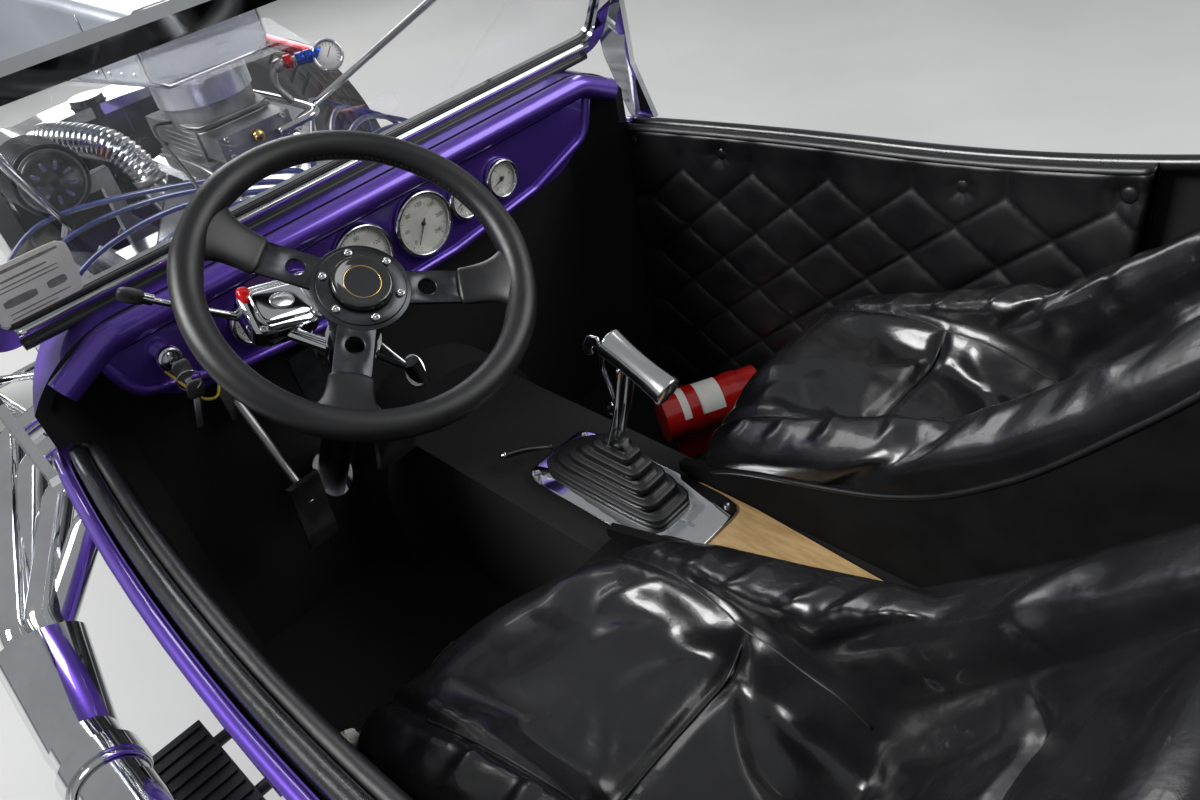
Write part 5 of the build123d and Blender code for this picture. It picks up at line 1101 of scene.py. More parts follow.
# %% Dials
DIAL_X, DIAL_Z = -200.3, 820.0
CARD_TOP = 0.0042
NEEDLE_R = np.array([1.1, 1.2, 1.1, 1.0, 0.9, 0.8, 0.6, 0.3]) * 0.0009
NEEDLE_CAP = ((0.0042, 0.0003), (0.0045, 0.0034), (0.0062, 0.0030), (0.0066, 0.0003))
DIALS = ((145.0, 29.0, 12), (50.0, 46.0, 8), (-50.0, 46.0, 12), (-125.0, 29.0, 5), (-193.0, 29.0, 5),
         (215.0, 29.0, 5))
BACKWARD = np.array([-1.0, 0.0, 0.0])
DIAL_AXES = np.array([[0.0, -1.0, 0.0], [0.0, 0.0, 1.0], [-1.0, 0.0, 0.0]])
dial_face = plain("dial_face", (0.66, 0.65, 0.60), (0.74, 0.73, 0.68), (0.35, 0.5), size=60, strength=0.05)
dial_ink = plain("dial_ink", (0.010, 0.010, 0.012), (0.02, 0.02, 0.022), (0.4, 0.5), size=80)


def numeral(text, height, centre, name):
    """Plain figures as flat mesh letters, standing upright on the dial."""
    curve = bpy.data.curves.new(name, "FONT")
    curve.body, curve.size, curve.extrude = text, height, 0.0001
    curve.align_x = curve.align_y = "CENTER"
    maker = bpy.data.objects.new(name, curve)
    link(maker)
    mesh = bpy.data.meshes.new_from_object(maker.evaluated_get(bpy.context.evaluated_depsgraph_get()))
    bpy.data.objects.remove(maker)
    points = where_points(mesh) @ DIAL_AXES + np.asarray(centre, float)
    mesh.vertices.foreach_set("co", points.ravel())
    mesh.materials.clear()
    mesh.materials.append(dial_ink)
    piece = bpy.data.objects.new(name, mesh)
    link(piece)
    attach(piece, "chassis")
    return piece


print("dials to build:", len(DIALS))

# %% [markdown]
# Every dial is built in its own plane, x to the right and y up, and turned into place by three directions.
# The marks lie on circles, at angle = 225 - 270 times the share of the scale, in degrees.

# %% Six dials
dial_parts = []
for index, (y, radius, marks) in enumerate(DIALS):
    r = radius * MM
    inward, count_by, figure, rest = (0.96, 20, 0.0078, 238) if radius > 40 else (0.83, 2, 0.0056, 200)
    centre = np.array([DIAL_X * MM, y * MM, DIAL_Z * MM])
    dial_parts.append(lathe(f"bezel_{index}",
                            ((0.0, r * 0.80), (0.0, r), (0.0065, r), (0.0092, r - 0.0012),
                             (0.0107, r - 0.0034),
                             (0.0100, r - 0.0054), (0.0062, r - 0.0064), (0.0035, r - 0.0066)),
                            centre, BACKWARD, chrome, sides=64, hollow=True))
    dial_parts.append(lathe(f"dial_{index}",
                            ((0.0028, 0.0004), (0.0034, r - 0.0070), (0.0040, r - 0.0068),
                             (0.0042, r - 0.0075), (0.0040, 0.0004)), centre, BACKWARD, dial_face, sides=64))
    sweep = np.radians(np.linspace(225, -45, 5 * marks + 1))
    long_mark = np.arange(len(sweep)) % 5 == 0
    for lengthy in (True, False):
        turns = sweep[long_mark == lengthy]
        reach = r - 0.0095 - (0.0016 if lengthy else 0.0008)
        spots = centre + np.stack([reach * np.cos(turns), reach * np.sin(turns), CARD_TOP + 0 * turns],
                                  -1) @ DIAL_AXES
        radial = np.stack([np.cos(turns), np.sin(turns), 0 * turns], -1) @ DIAL_AXES
        axes = directions(np.broadcast_to(BACKWARD, (len(turns), 3)), radial)
        tick = brick(0.0044 if lengthy else 0.0024, 0.0009 if lengthy else 0.0005, 0.0002, sides=8)
        dial_parts.append(spread(f"ticks_{index}_{int(lengthy)}", tick, spots, axes, dial_ink))
    for mark in np.arange(0, marks + 1, 2):
        turn = math.radians(225 - 270 * mark / marks)
        reach = (r - 0.0175 * radius / 46) * inward
        spot = centre + np.array([reach * math.cos(turn), reach * math.sin(turn), CARD_TOP]) @ DIAL_AXES
        dial_parts.append(numeral(str(mark * count_by), figure, spot, f"figure_{index}_{mark}"))
    aim = math.radians(rest)
    along = np.array([math.cos(aim), math.sin(aim), 0.0])
    needle = np.array([along * -0.16 * r + (0, 0, 0.0056), along * 0.1 * r + (0, 0, 0.0058),
                       along * 0.66 * r + (0, 0, 0.0056)]) @ DIAL_AXES + centre
    dial_parts.append(tube(f"needle_{index}", curve_through(needle, 8), NEEDLE_R, dial_ink, sides=8,
                           side=(1, 0, 0)))
    dial_parts.append(lathe(f"needle_cap_{index}", NEEDLE_CAP, centre, BACKWARD, dial_ink, sides=24))
gauge_set = merge("gauge_set", dial_parts)
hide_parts("gauges")
covers = [lathe(f"dial_glass_{index}",
                ((0.0078, 0.0003), (0.0078, radius * MM - 0.0060), (0.0086, radius * MM - 0.0060),
                 (0.0092, radius * MM * 0.5), (0.0094, 0.0003)),
                (DIAL_X * MM, y * MM, DIAL_Z * MM), BACKWARD, dial_glass, sides=48)
          for index, (y, radius, _) in enumerate(DIALS)]
gauge_glass = merge("gauge_glass", covers)
print("dials:", len(DIALS), "parts:", len(dial_parts))

# %% [markdown]
# The shifter stands on a bright plate. Its rubber boot is a stack of shrinking steps, each a rounded
# rectangle: the profile goes in a little, up a little, and in again, and the sides of every ring are
# r = (|cos / a|^p + |sin / b|^p)^(-1 / p), a soft-cornered rectangle of half sides a and b.

# %% Plate and boot
SHIFT_MIDDLE, SHIFT_TOP = -0.571, 0.5616


def soft_box_ring(a, b, power):
    """Points round the soft-cornered rectangle of half sides a and b."""
    turn = full_turn(96)
    c, s = np.cos(turn), np.sin(turn)
    reach = (np.abs(c / a) ** power + np.abs(s / b) ** power) ** (-1 / power)
    return np.stack([reach * c, reach * s], -1)


def stack_of_rings(levels, power):
    """A grid from (centre x, half length, half width, height) levels."""
    rows = []
    for x, a, b, z in levels:
        ring = soft_box_ring(a, b, power)
        rows.append(np.stack([ring[:, 0] + x, ring[:, 1], z + 0 * ring[:, 0]], -1))
    return np.stack(rows)


PLATE_STEPS = ((0, -0.0030), (0, -0.0008), (0.0010, 0.0002), (0.0030, 0.0004), (0.0600, 0.0004))
plate_levels = [(SHIFT_MIDDLE, max(0.1350 - inset, 0.075), max(0.0580 - inset, 0.0005), SHIFT_TOP + z)
                for inset, z in PLATE_STEPS]
shift_plate = surface("shift_plate", stack_of_rings(plate_levels, 9.0), chrome, wrap_columns=True, caps=True)
corner = np.array([[SHIFT_MIDDLE + sx * 0.120, sy * 0.044, SHIFT_TOP] for sx in (1, -1) for sy in (1, -1)])
plate_screws = spread("plate_screws", SCREW, corner, np.eye(3), steel)

BOOT_STEP = ((0.0010, 0.0), (0.0, 0.0012), (0.0, 0.0098), (0.0014, 0.0112), (0.0060, 0.0122),
             (0.0076, 0.0130), (0.0080, 0.0150))
levels = []
for tier in range(5):
    share = tier / 4
    x, z = -0.550 - 0.016 * share, SHIFT_TOP + 0.015 * tier
    a, b = 0.1000 - 0.0700 * share, 0.0365 - 0.0215 * share
    for inset, up_by in BOOT_STEP:
        levels.append((x, a - inset, b - inset, z + up_by))
levels += [(-0.568, 0.016, 0.012, SHIFT_TOP + 0.077), (-0.570, 0.012, 0.010, SHIFT_TOP + 0.084)]
shift_boot = surface("shift_boot", stack_of_rings(levels, 6.0), black_rubber, wrap_columns=True, caps=True)
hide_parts("shifter")
print("plate levels:", len(plate_levels), "boot levels:", len(levels))

# %% [markdown]
# The stick is two flat bars side by side with a light slot between them, and a squeeze lever in front. The
# handle is a satin cross bar, thicker at its ends than at its waist, with a flat trimmed tip at each end.

# %% Stick and handle
def flat_bar(name, path, wide, thin, finish):
    """A ribbon with soft edges: rings of a flattened circle along a path."""
    return tube(name, path, wide, finish, sides=20, side=(0, 1, 0), flat=thin / wide)


stick_parts = []
for y in (0.0075, -0.0075):
    path = curve_through(np.array([(-0.566, y, 0.640), (-0.590, y, 0.700), (-0.612, y, 0.772)]), 24)
    stick_parts.append(flat_bar(f"stick_{y:+.4f}", path, 0.0028, 0.0085, chrome))
cross_path = np.array([(-0.5860, 0.0, 0.7930), (-0.6700, 0.0, 0.7540)])
share = np.linspace(0, 1, 60)
spine = cross_path[0] + (cross_path[1] - cross_path[0]) * share[:, None]
thickness = 0.0150 + 0.0030 * np.abs(2 * share - 1) ** 2.2
cap_share = np.minimum(share, 1 - share) / 0.035
thickness = thickness * np.sqrt(np.clip(1 - (1 - np.clip(cap_share, 0, 1)) ** 2 * 0.75, 0.05, 1))
handle = tube("shift_handle", spine, thickness, polished, sides=40, side=(0, 1, 0))
lever_path = curve_through(np.array([(-0.5800, 0.004, 0.7790), (-0.5760, 0.004, 0.7560),
                                     (-0.5810, 0.004, 0.7300), (-0.5850, 0.004, 0.7050)]), 24)
stick_parts.append(tube("squeeze_rod", lever_path, 0.0032, chrome, sides=12, side=(0, 1, 0)))
hook = curve_through(np.array([(-0.5740, 0.0, 0.7860), (-0.5600, 0.0, 0.7830), (-0.5520, 0.0, 0.7720),
                               (-0.5540, 0.0, 0.7640)]), 24)
stick_parts.append(flat_bar("squeeze_lever", hook, 0.0075, 0.0030, chrome))
knob = curve_through(np.array([(-0.5840, 0.004, 0.7060), (-0.5790, 0.004, 0.6960), (-0.5720, 0.004, 0.6920)]),
                     12)
stick_parts.append(flat_bar("squeeze_foot", knob, 0.0060, 0.0030, chrome))
stick = merge("shift_stick", stick_parts)
rod_path = curve_through(np.array([(-0.395, 0.050, 0.5700), (-0.420, 0.030, 0.5780),
                                   (-0.452, 0.012, 0.5840)]), 24)
small_rod = tube("lockout_rod", rod_path, 0.0042, black_rubber, sides=14)
rod_tip = tube("lockout_tip", rod_path[:4] + np.array([0.004, 0.003, -0.0012]), 0.0052, chrome, sides=14)
print("stick parts:", len(stick_parts))

# %% [markdown]
# The engine's small things sit on its solids: turned-over rims and rivets on the scoop, screws on the
# carburettor, leads from the cap to the plugs, fins on the pump, ribs on the hose, and the fuel line with its
# coloured fittings and its small dial.

# %% Scoop rims and rivets
SCOOP_TAIL, SCOOP_MOUTH = (0.133, 0.090, 0.098), (0.583, 0.178, 0.172)  # place, half width, height
SCOOP_FLOOR, SCOOP_CORNER = 1.011, 0.016


def scoop_size(x):
    """Half width and height of the scoop where it is cut at x."""
    share = (x - SCOOP_TAIL[0]) / (SCOOP_MOUTH[0] - SCOOP_TAIL[0])
    return [low + share * (high - low) for low, high in zip(SCOOP_TAIL[1:], SCOOP_MOUTH[1:])]


def scoop_ring(x, grow):
    """The scoop's outline where it is cut at x: a rectangle whose corners are rounded by 16 mm."""
    half, tall = scoop_size(x)
    half, tall = half + grow, tall / 2 + grow
    turn = full_turn(96)
    line = np.stack([np.cos(turn), np.sin(turn)], -1)
    straight = np.array([half - SCOOP_CORNER, tall - SCOOP_CORNER])
    reach = 1 / (np.abs(line) / straight).max(1)
    core = line * reach[:, None]
    out = core / straight
    out = np.sign(out) * np.abs(out) ** 24
    out /= np.linalg.norm(out, axis=1, keepdims=True)
    edge = core + SCOOP_CORNER * out
    return np.stack([x + 0 * turn, edge[:, 0], SCOOP_FLOOR + tall - grow + edge[:, 1]], -1)


scoop_rims = []
for index, (x, thick) in enumerate(((0.136, 0.0040), (0.240, 0.0016), (0.579, 0.0045))):
    path = scoop_ring(x, 0.0004)
    scoop_rims.append(tube(f"scoop_rim_{index}", path, thick, polished, sides=10, side=(1, 0, 0),
                           closed=True))
rivet_spots, rivet_out = [], []
for x in np.linspace(0.165, 0.555, 14):
    for side in (-1, 1):
        rivet_spots.append((x, side * scoop_size(x)[0], SCOOP_FLOOR + 0.022))
        rivet_out.append((-0.19, side, 0.0))
RIVET = turned(((0.0001, -0.0006), (0.0034, -0.0004), (0.0032, 0.0010), (0.0018, 0.0019), (0.0001, 0.0021)),
               14)
scoop_rims.append(spread("scoop_rivets", RIVET, rivet_spots, directions(rivet_out), polished))
scoop_edges = merge("scoop_edges", scoop_rims)
print("scoop rivets:", len(rivet_spots))

# %% [markdown]
# The carburettor gets its jets' plugs, bowl screws, thin fins, a fuel rail along one side, a throttle link and
# a thin cable that runs back over the engine.

# %% Carburettor parts
CARB_X, BOWL_REACH = 0.203, 0.1225
bowl_spots = [(CARB_X + side * BOWL_REACH, y, z) for side in (-1, 1) for y in (-0.046, 0.046)
              for z in (0.906, 0.932)]
bowl_screws = spread("bowl_screws", SCREW, bowl_spots,
                     directions([(math.copysign(1, x - CARB_X), 0, 0) for x, _, _ in bowl_spots]), steel)
plugs = spread("bowl_plugs", turned(((0.0001, 0), (0.010, 0), (0.010, 0.006), (0.007, 0.009),
                                     (0.0001, 0.009)), 6),
               [(CARB_X + side * BOWL_REACH, 0.0, 0.920) for side in (-1, 1)],
               directions([(-1, 0, 0), (1, 0, 0)]), gold)
links = [
    tube("throttle_rod", curve_through([(0.262, 0.081, 0.893), (0.203, 0.084, 0.900), (0.130, 0.080, 0.898),
            (0.080, 0.074, 0.880), (0.030, 0.066, 0.842)], 40), 0.0028, steel, sides=10),
    tube("fuel_rail", curve_through([(0.330, -0.030, 0.914), (0.345, -0.084, 0.918), (0.300, -0.096, 0.920),
            (0.110, -0.098, 0.922), (0.062, -0.084, 0.921), (0.074, -0.030, 0.914)], 70), 0.0062, chrome,
         sides=14),
    tube("choke_cable", curve_through([(0.203, 0.064, 0.948), (0.180, 0.100, 0.952), (0.060, 0.120, 0.905),
            (-0.060, 0.150, 0.830), (-0.125, 0.170, 0.760)], 60), 0.0026, black_rubber, sides=10),
]
carb_fins = []
for level in np.linspace(0.900, 0.944, 6):
    box = brick(0.150, 0.1262, 0.0022, 0.2, 28)
    carb_fins.append(spread(f"carb_fin_{len(carb_fins)}", box, (CARB_X, 0.0, level), np.eye(3), cast))
carb_detail = merge("carb_detail", [bowl_screws, plugs, *links, *carb_fins])
print("carburettor fins:", len(carb_fins))

# %% [markdown]
# Eight leads run from the cap's towers over the covers to the plugs. Each follows a smooth curve through a
# few points, rises off its tower, lies on the cover's edge and turns down into its boot.

# %% Plug leads
CAP = np.array([-0.023, 0.0, 0.812])
ENGINE_X, TOWER_REACH = 0.205, 0.027
PORTS = (-0.168, -0.056, 0.056, 0.168)
lead_blue = plain("blue_lead", (0.006, 0.014, 0.085), (0.010, 0.022, 0.13), (0.25, 0.34), size=50, grain=300,
                  strength=0.05)
leads, boots, boot_axes = [], [], []
for side, towers in ((1, (3, 2, 1, 0)), (-1, (4, 5, 6, 7))):
    for port, tower in zip(PORTS, towers):
        x = ENGINE_X + port + 0.036
        turn = math.radians(tower * 45.0)
        top = CAP + (TOWER_REACH * math.cos(turn), TOWER_REACH * math.sin(turn), 0.014)
        plug = np.array([x, side * 0.292, 0.672])
        away = top + (0.018 * math.cos(turn), 0.018 * math.sin(turn), 0.050)
        path = [top, top + (0, 0, 0.022), away, (0.5 * (x + top[0]), side * 0.150, 0.878 - 0.03 * abs(port)),
                (x - 0.01, side * 0.262, 0.828), (x, side * 0.352, 0.760), plug + (0, side * 0.046, 0.012),
                plug]
        leads.append(tube(f"lead_{side}_{tower}", curve_through(path, 90), 0.0042, lead_blue, sides=12,
                          side=(1, 0.01, 0.02)))
        boots += [top - (0, 0, 0.004), plug - (0, side * 0.012, 0.008)]
        boot_axes += [(0.0, 0.0, 1.0), (0.0, side * 0.8, 0.42)]
BOOT = turned(((0.0001, 0), (0.0088, 0), (0.0092, 0.006), (0.0080, 0.016), (0.0066, 0.030), (0.0048, 0.034),
               (0.0001, 0.034)), 18)
leads.append(spread("lead_boots", BOOT, boots, directions(boot_axes, (1.0, 0.0, 0.0)), black_rubber))
plug_leads = merge("plug_leads", leads)
print("plug leads:", len(leads) - 1)

# %% [markdown]
# Dark fins stand round the barrel of the belt-driven pump, and short bright bars on its rear cap.

# %% Pump fins
BARREL = np.array([0.4353, 0.212, 0.884])
FIN = turned(((0.0495, -0.0016), (0.0560, -0.0016), (0.0575, -0.0008), (0.0575, 0.0008), (0.0560, 0.0016),
              (0.0495, 0.0016)), 64)
fin_spots = [BARREL + (offset, 0, 0) for offset in np.linspace(-0.044, 0.042, 10)]
around_cap = np.linspace(0, 2 * math.pi, 10)[:-1]
cap_ways = [(0.0, math.cos(turn), math.sin(turn)) for turn in around_cap]
pump_parts = [
    spread("pump_ribs", FIN, fin_spots, directions([(1.0, 0, 0)] * len(fin_spots)), dark_alloy,
           wrap_rows=True, caps=False),
    lathe("pump_cap", ((0.0002, 0.0005), (0.0002, 0.046), (0.003, 0.046), (0.006, 0.038), (0.006, 0.016),
                       (0.011, 0.013), (0.011, 0.0005)),
          BARREL - (0.0500, 0, 0), (-1, 0, 0), dark_alloy),
    spread("pump_bars", brick(0.014, 0.005, 0.0014),
           [BARREL - (0.0560, 0, 0) + 0.027 * np.array(way) for way in cap_ways],
           directions([(-1.0, 0, 0)] * len(cap_ways), cap_ways), polished),
]
pump_fins = merge("pump_fins", pump_parts)
print("pump fins:", len(fin_spots), "bars:", len(cap_ways))

# %% [markdown]
# A bright flexible hose is a tube whose radius rises and falls along its length: r + 1.7 mm times
# sin(2 pi s / 9 mm).

# %% Ribbed hose
hose_line = curve_through([(0.4293, 0.0603, 0.801), (0.438, 0.068, 0.838), (0.470, 0.090, 0.880),
                          (0.545, 0.140, 0.899), (0.610, 0.150, 0.884), (0.652, 0.150, 0.862),
                          (0.700, 0.150, 0.840)], 640)
hose_run = np.concatenate([[0], np.cumsum(np.linalg.norm(np.diff(hose_line, axis=0), axis=1))])
hose_ribs = tube("hose_ribs", hose_line, 0.0252 + 0.0017 * np.sin(2 * np.pi * hose_run / 0.009), chrome,
                 sides=36, side=(0, 1, 0.01))
clamps = [lathe(f"hose_clamp_{index}", ((-0.006, 0.0262), (-0.006, 0.0282), (0.006, 0.0282), (0.006, 0.0262)),
                hose_line[index],
                hose_line[index + 1] - hose_line[index - 1], steel, hollow=True) for index in (40, 600)]
hose = merge("ribbed_hose", [hose_ribs, *clamps])
print("hose is", round(float(hose_run[-1]), 3), "m long")

# %% [markdown]
# The fuel line enters from the passenger's side: a red tube, blue and red screwed fittings, and a small
# glycerine dial that looks back at the driver.

# %% Fuel line and its dial
fuel_log = curve_through([(0.112, -0.150, 0.978), (0.170, -0.151, 0.981), (0.330, -0.154, 0.988)], 60)
fuel_feed = curve_through([(0.118, -0.148, 0.979), (0.124, -0.125, 0.981), (0.138, -0.092, 0.979),
                           (0.144, -0.083, 0.955), (0.140, -0.097, 0.924)], 50)
fuel_parts = [tube("fuel_log", fuel_log, 0.0105, red_anodised, sides=24),
              tube("fuel_feed", fuel_feed, 0.0058, steel, sides=14)]
HEX = ((-0.0065, 0.001), (-0.0065, 0.0088), (-0.0050, 0.0100), (0.0050, 0.0100), (0.0065, 0.0088),
       (0.0065, 0.001))
for index, (spot, finish) in enumerate(((6, blue_anodised), (12, blue_anodised), (18, red_anodised),
                                        (23, steel))):
    fuel_parts.append(lathe(f"fitting_{index}", HEX, fuel_feed[spot],
                            fuel_feed[spot + 1] - fuel_feed[spot - 1], finish, sides=6 if index % 2 else 24))
for end in (1, 58):
    fuel_parts.append(lathe(f"log_end_{end}", np.array(HEX) * (1.3, 1.32), fuel_log[end], (1.0, 0.0, 0.02),
                            blue_anodised, sides=24))
fuel_set = merge("fuel_line_set", fuel_parts)
DIAL_AT, DIAL_BACK = np.array([0.100, -0.159, 0.977]), np.array([-0.86, 0.36, 0.36])
dial_rim = lathe("fuel_dial_rim", ((-0.020, 0.001), (-0.020, 0.0225), (0.0, 0.0235), (0.003, 0.0225),
        (0.003, 0.0195), (0.0005, 0.0190), (0.0005, 0.001)), DIAL_AT, DIAL_BACK, chrome)
dial_card = lathe("fuel_dial_card", ((0.0006, 0.0005), (0.0006, 0.0188), (0.0012, 0.0188), (0.0012, 0.0005)),
                  DIAL_AT, DIAL_BACK, white_card)
dial_axes = directions(DIAL_BACK / np.linalg.norm(DIAL_BACK))[0]
marks, mark_axes = [], []
for turn in np.radians(np.linspace(-45, 225, 16)):
    way = math.cos(turn) * dial_axes[1] + math.sin(turn) * dial_axes[0]
    marks.append(DIAL_AT + 0.0012 * dial_axes[2] + 0.0155 * way)
    mark_axes.append(np.stack([way, np.cross(dial_axes[2], way), dial_axes[2]]))
dial_marks = spread("fuel_dial_marks", brick(0.0040, 0.0007, 0.0002), marks, np.array(mark_axes), black_paint)
pointer_way = math.cos(2.2) * dial_axes[1] + math.sin(2.2) * dial_axes[0]
dial_hand = spread("fuel_dial_hand", brick(0.017, 0.0011, 0.0004),
                   DIAL_AT + 0.0014 * dial_axes[2] + 0.005 * pointer_way,
                   np.stack([pointer_way, np.cross(dial_axes[2], pointer_way), dial_axes[2]]), black_paint)
dial_stem = tube("fuel_dial_stem", np.linspace(DIAL_AT - 0.012 * dial_axes[2], (0.128, -0.151, 0.979), 8),
                 0.0055, steel, sides=12)
fuel_dial = merge("fuel_dial", [dial_rim, dial_card, dial_marks, dial_hand, dial_stem])
print("fuel dial marks:", len(marks))

# %% [markdown]
# Under the wheel sit the small controls. The first is a bright die-cast switch housing with a red lens and
# a lever. Most of its parts are boxes with very round corners, laid along the housing's own directions.

# %% Switch housing
HOUSING = np.array([-0.301, 0.2160, 0.866])


def pillow(half, power=0.42, rows=24, columns=44):
    """A box with very round corners: each coordinate is half times a sign-kept power of sine and cosine."""
    polar = np.linspace(0.02, np.pi - 0.02, rows)[:, None]
    around = full_turn(columns)[None, :]

    def soft(value):
        return np.sign(value) * np.abs(value) ** power

    return np.stack([half[0] * soft(np.sin(polar)) * soft(np.cos(around)),
                     half[1] * soft(np.sin(polar)) * soft(np.sin(around)),
                     half[2] * soft(np.cos(polar)) + 0 * around], -1)[::-1]


tip = math.radians(24)
housing_axes = np.stack([(0.0, math.cos(tip), math.sin(tip) * 0.6), (0, 0, 0), WHEEL_OUT])
housing_axes[0] /= np.linalg.norm(housing_axes[0])
housing_axes[1] = np.cross(WHEEL_OUT, housing_axes[0])
housing_axes[1] /= np.linalg.norm(housing_axes[1])
housing_axes[2] = np.cross(housing_axes[0], housing_axes[1])
switch_parts = [
    spread("switch_body", pillow((0.041, 0.033, 0.019)), HOUSING, housing_axes, chrome),
    spread("switch_raised", pillow((0.031, 0.023, 0.006), 0.35), HOUSING + 0.0172 * housing_axes[2],
           housing_axes, chrome),
    spread("switch_badge", pillow((0.014, 0.010, 0.0024), 0.9), HOUSING + 0.0230 * housing_axes[2],
           housing_axes, polished),
    spread("switch_lens", pillow((0.0075, 0.011, 0.007), 0.7),
           HOUSING + 0.031 * housing_axes[0] - 0.021 * housing_axes[1] + 0.014 * housing_axes[2],
           housing_axes, red_lens),
    spread("switch_screws", SCREW, [HOUSING + a * 0.033 * housing_axes[0] + b * 0.0255 * housing_axes[1]
                                    + 0.0158 * housing_axes[2] for a, b in ((1, 1), (-1, 1), (-1, -1))],
           housing_axes, steel),
    tube("switch_lever", curve_through([(-0.290, 0.236, 0.866), (-0.280, 0.262, 0.884),
                                        (-0.266, 0.305, 0.918), (-0.256, 0.331, 0.9385)], 40),
         np.linspace(0.0036, 0.0030, 40), chrome, sides=14),
    spread("lever_tip", pillow((0.0075, 0.0075, 0.014), 0.6), (-0.2555, 0.333, 0.9400),
           directions((0.35, 0.8, 0.6))[0], black_rubber),
]
switch_set = merge("switch_set", switch_parts)
print("switch parts:", len(switch_parts))

# %% [markdown]
# Two keys hang on one ring at the lock below the dash, with a loop of yellow wire beside them.

# %% Lock, keys and the yellow loop
KEY_FACE = np.array([-0.214, 0.321, 0.838])
key_parts = [
    lathe("lock_ring", ((0.0, 0.0010), (0.0, 0.0150), (0.004, 0.0150), (0.008, 0.0125), (0.009, 0.0100),
                        (0.006, 0.0090), (0.006, 0.001)), KEY_FACE, (-1, 0, 0.06), chrome),
]
for index, (at, way, long) in enumerate((((-0.243, 0.3210, 0.832), (0.05, 0.0, -1.0), 0.050),
                                         ((-0.246, 0.3195, 0.805), (0.15, 0.28, -1.0), 0.052))):
    blade = directions(way, (0, 1, 0))[0]
    key_parts.append(spread(f"key_head_{index}", pillow((0.0105, 0.0016, 0.0125), 0.6, 16, 30), at, blade,
                            steel))
    key_parts.append(spread(f"key_blade_{index}", brick(0.0075, 0.0020, long), at, blade, steel))
ring_turn = full_turn(40)
ring_way = np.stack([0.3 * np.sin(ring_turn), np.sin(ring_turn), np.cos(ring_turn)], -1)
ring_path = np.array([-0.246, 0.321, 0.818]) + 0.0125 * ring_way
key_parts.append(tube("key_ring", ring_path, 0.0010, chrome, sides=8, side=(1, 0, 0), closed=True))
key_set = merge("key_set", key_parts)
wire_path = curve_through([(-0.206, 0.330, 0.822), (-0.222, 0.322, 0.800), (-0.238, 0.316, 0.786),
                          (-0.234, 0.300, 0.776), (-0.218, 0.286, 0.782), (-0.205, 0.276, 0.796),
                          (-0.196, 0.270, 0.815)], 80)
wire_loop = tube("yellow_wire_loop", wire_path, 0.0017, yellow_wire, sides=10)
print("key parts:", len(key_parts))

# %% [markdown]
# Two loose lap belt ends lie on the floor at the foot of the driver's seat. Each is a flat band that follows
# a curve, one grid with a closed section.

# %% Belt webbing
WEB_WIDE, WEB_HALF_THICK = 0.046, 0.0016


def band(name, points):
    """A flat strap along a curve: every ring is a flattened circle, wide across the strap."""
    return tube(name, curve_through(points, 120), WEB_WIDE / 2, webbing, sides=20,
                flat=2 * WEB_HALF_THICK / WEB_WIDE)


belts = [
    band("belt_a", ((-0.380, 0.232, 0.3320), (-0.455, 0.222, 0.3330), (-0.530, 0.208, 0.3420),
                    (-0.585, 0.196, 0.3560), (-0.597, 0.192, 0.4200))),
    band("belt_b", ((-0.420, 0.292, 0.3315), (-0.470, 0.262, 0.3400), (-0.520, 0.236, 0.3500),
                    (-0.575, 0.222, 0.3600), (-0.597, 0.220, 0.4200))),
]
belt_set = merge("belt_webbing", belts)
print("belts:", len(belts))

# %% [markdown]
# The red bottle lies on its side and wears a pale label round its upper half.

# %% Bottle label
BOTTLE_FROM, BOTTLE_TO = np.array([-0.375, -0.262, 0.400]), np.array([-0.456, -0.406, 0.400])
bottle_way = (BOTTLE_TO - BOTTLE_FROM) / np.linalg.norm(BOTTLE_TO - BOTTLE_FROM)
label_rows = np.linspace(0.028, 0.098, 12)[:, None]
label_turn = np.radians(np.linspace(20, 160, 48))[None, :]
level_way = np.cross(bottle_way, (0, 0, 1.0))
wrap = 0.0393 * (np.cos(label_turn)[..., None] * level_way
                 + np.sin(label_turn)[..., None] * np.array([0, 0, 1.0]))
label = surface("bottle_label", BOTTLE_FROM + label_rows[..., None] * bottle_way + wrap, white_card)
print("label faces:", len(label.data.polygons))

# %% [markdown]
# A pale card is stuck inside the glass at its left lower corner; its print is a few plain bars. A bright
# bead and two black gaskets run along the foot of the glass. A small polished spoon hangs on a thin rod
# behind the wheel.

# %% Card, foot of the glass and spoon
LEAN = math.radians(28.0)
GLASS_FOOT = np.array([-0.158, 0.0, 0.921])
GLASS_UP = np.array([-math.sin(LEAN), 0, math.cos(LEAN)])
GLASS_IN = np.array([-math.cos(LEAN), 0, -math.sin(LEAN)])
card_axes = np.stack([np.array([0.0, -1.0, 0.0]), GLASS_UP, GLASS_IN])


def on_glass(y, rise, out=0.0036):
    """A place on the leaning glass: so far to the side, up along it, and out on its inner face."""
    return GLASS_FOOT + np.array([0, y, 0]) + rise * GLASS_UP + out * GLASS_IN


faded_ink = plain("faded_ink", (0.20, 0.20, 0.20), (0.30, 0.30, 0.29), (0.5, 0.6), size=80)
card_parts = [spread("card", brick(0.090, 0.088, 0.0004, 0.05, 32), on_glass(0.396, 0.056), card_axes,
                     white_card)]
bars = [(0.396, 0.091, 0.070, 0.0045), (0.402, 0.078, 0.052, 0.0030), (0.398, 0.070, 0.062, 0.0018),
        (0.398, 0.064, 0.062, 0.0018), (0.412, 0.046, 0.034, 0.0120), (0.374, 0.046, 0.020, 0.0120),
        (0.396, 0.030, 0.064, 0.0018), (0.404, 0.023, 0.048, 0.0018)]
for index, (y, rise, wide, tall) in enumerate(bars):
    card_parts.append(spread(f"card_bar_{index}", brick(wide, tall, 0.0002, 0.05), on_glass(y, rise, 0.0040),
                             card_axes, faded_ink))
glass_card = merge("glass_card", card_parts)
sill_parts = []
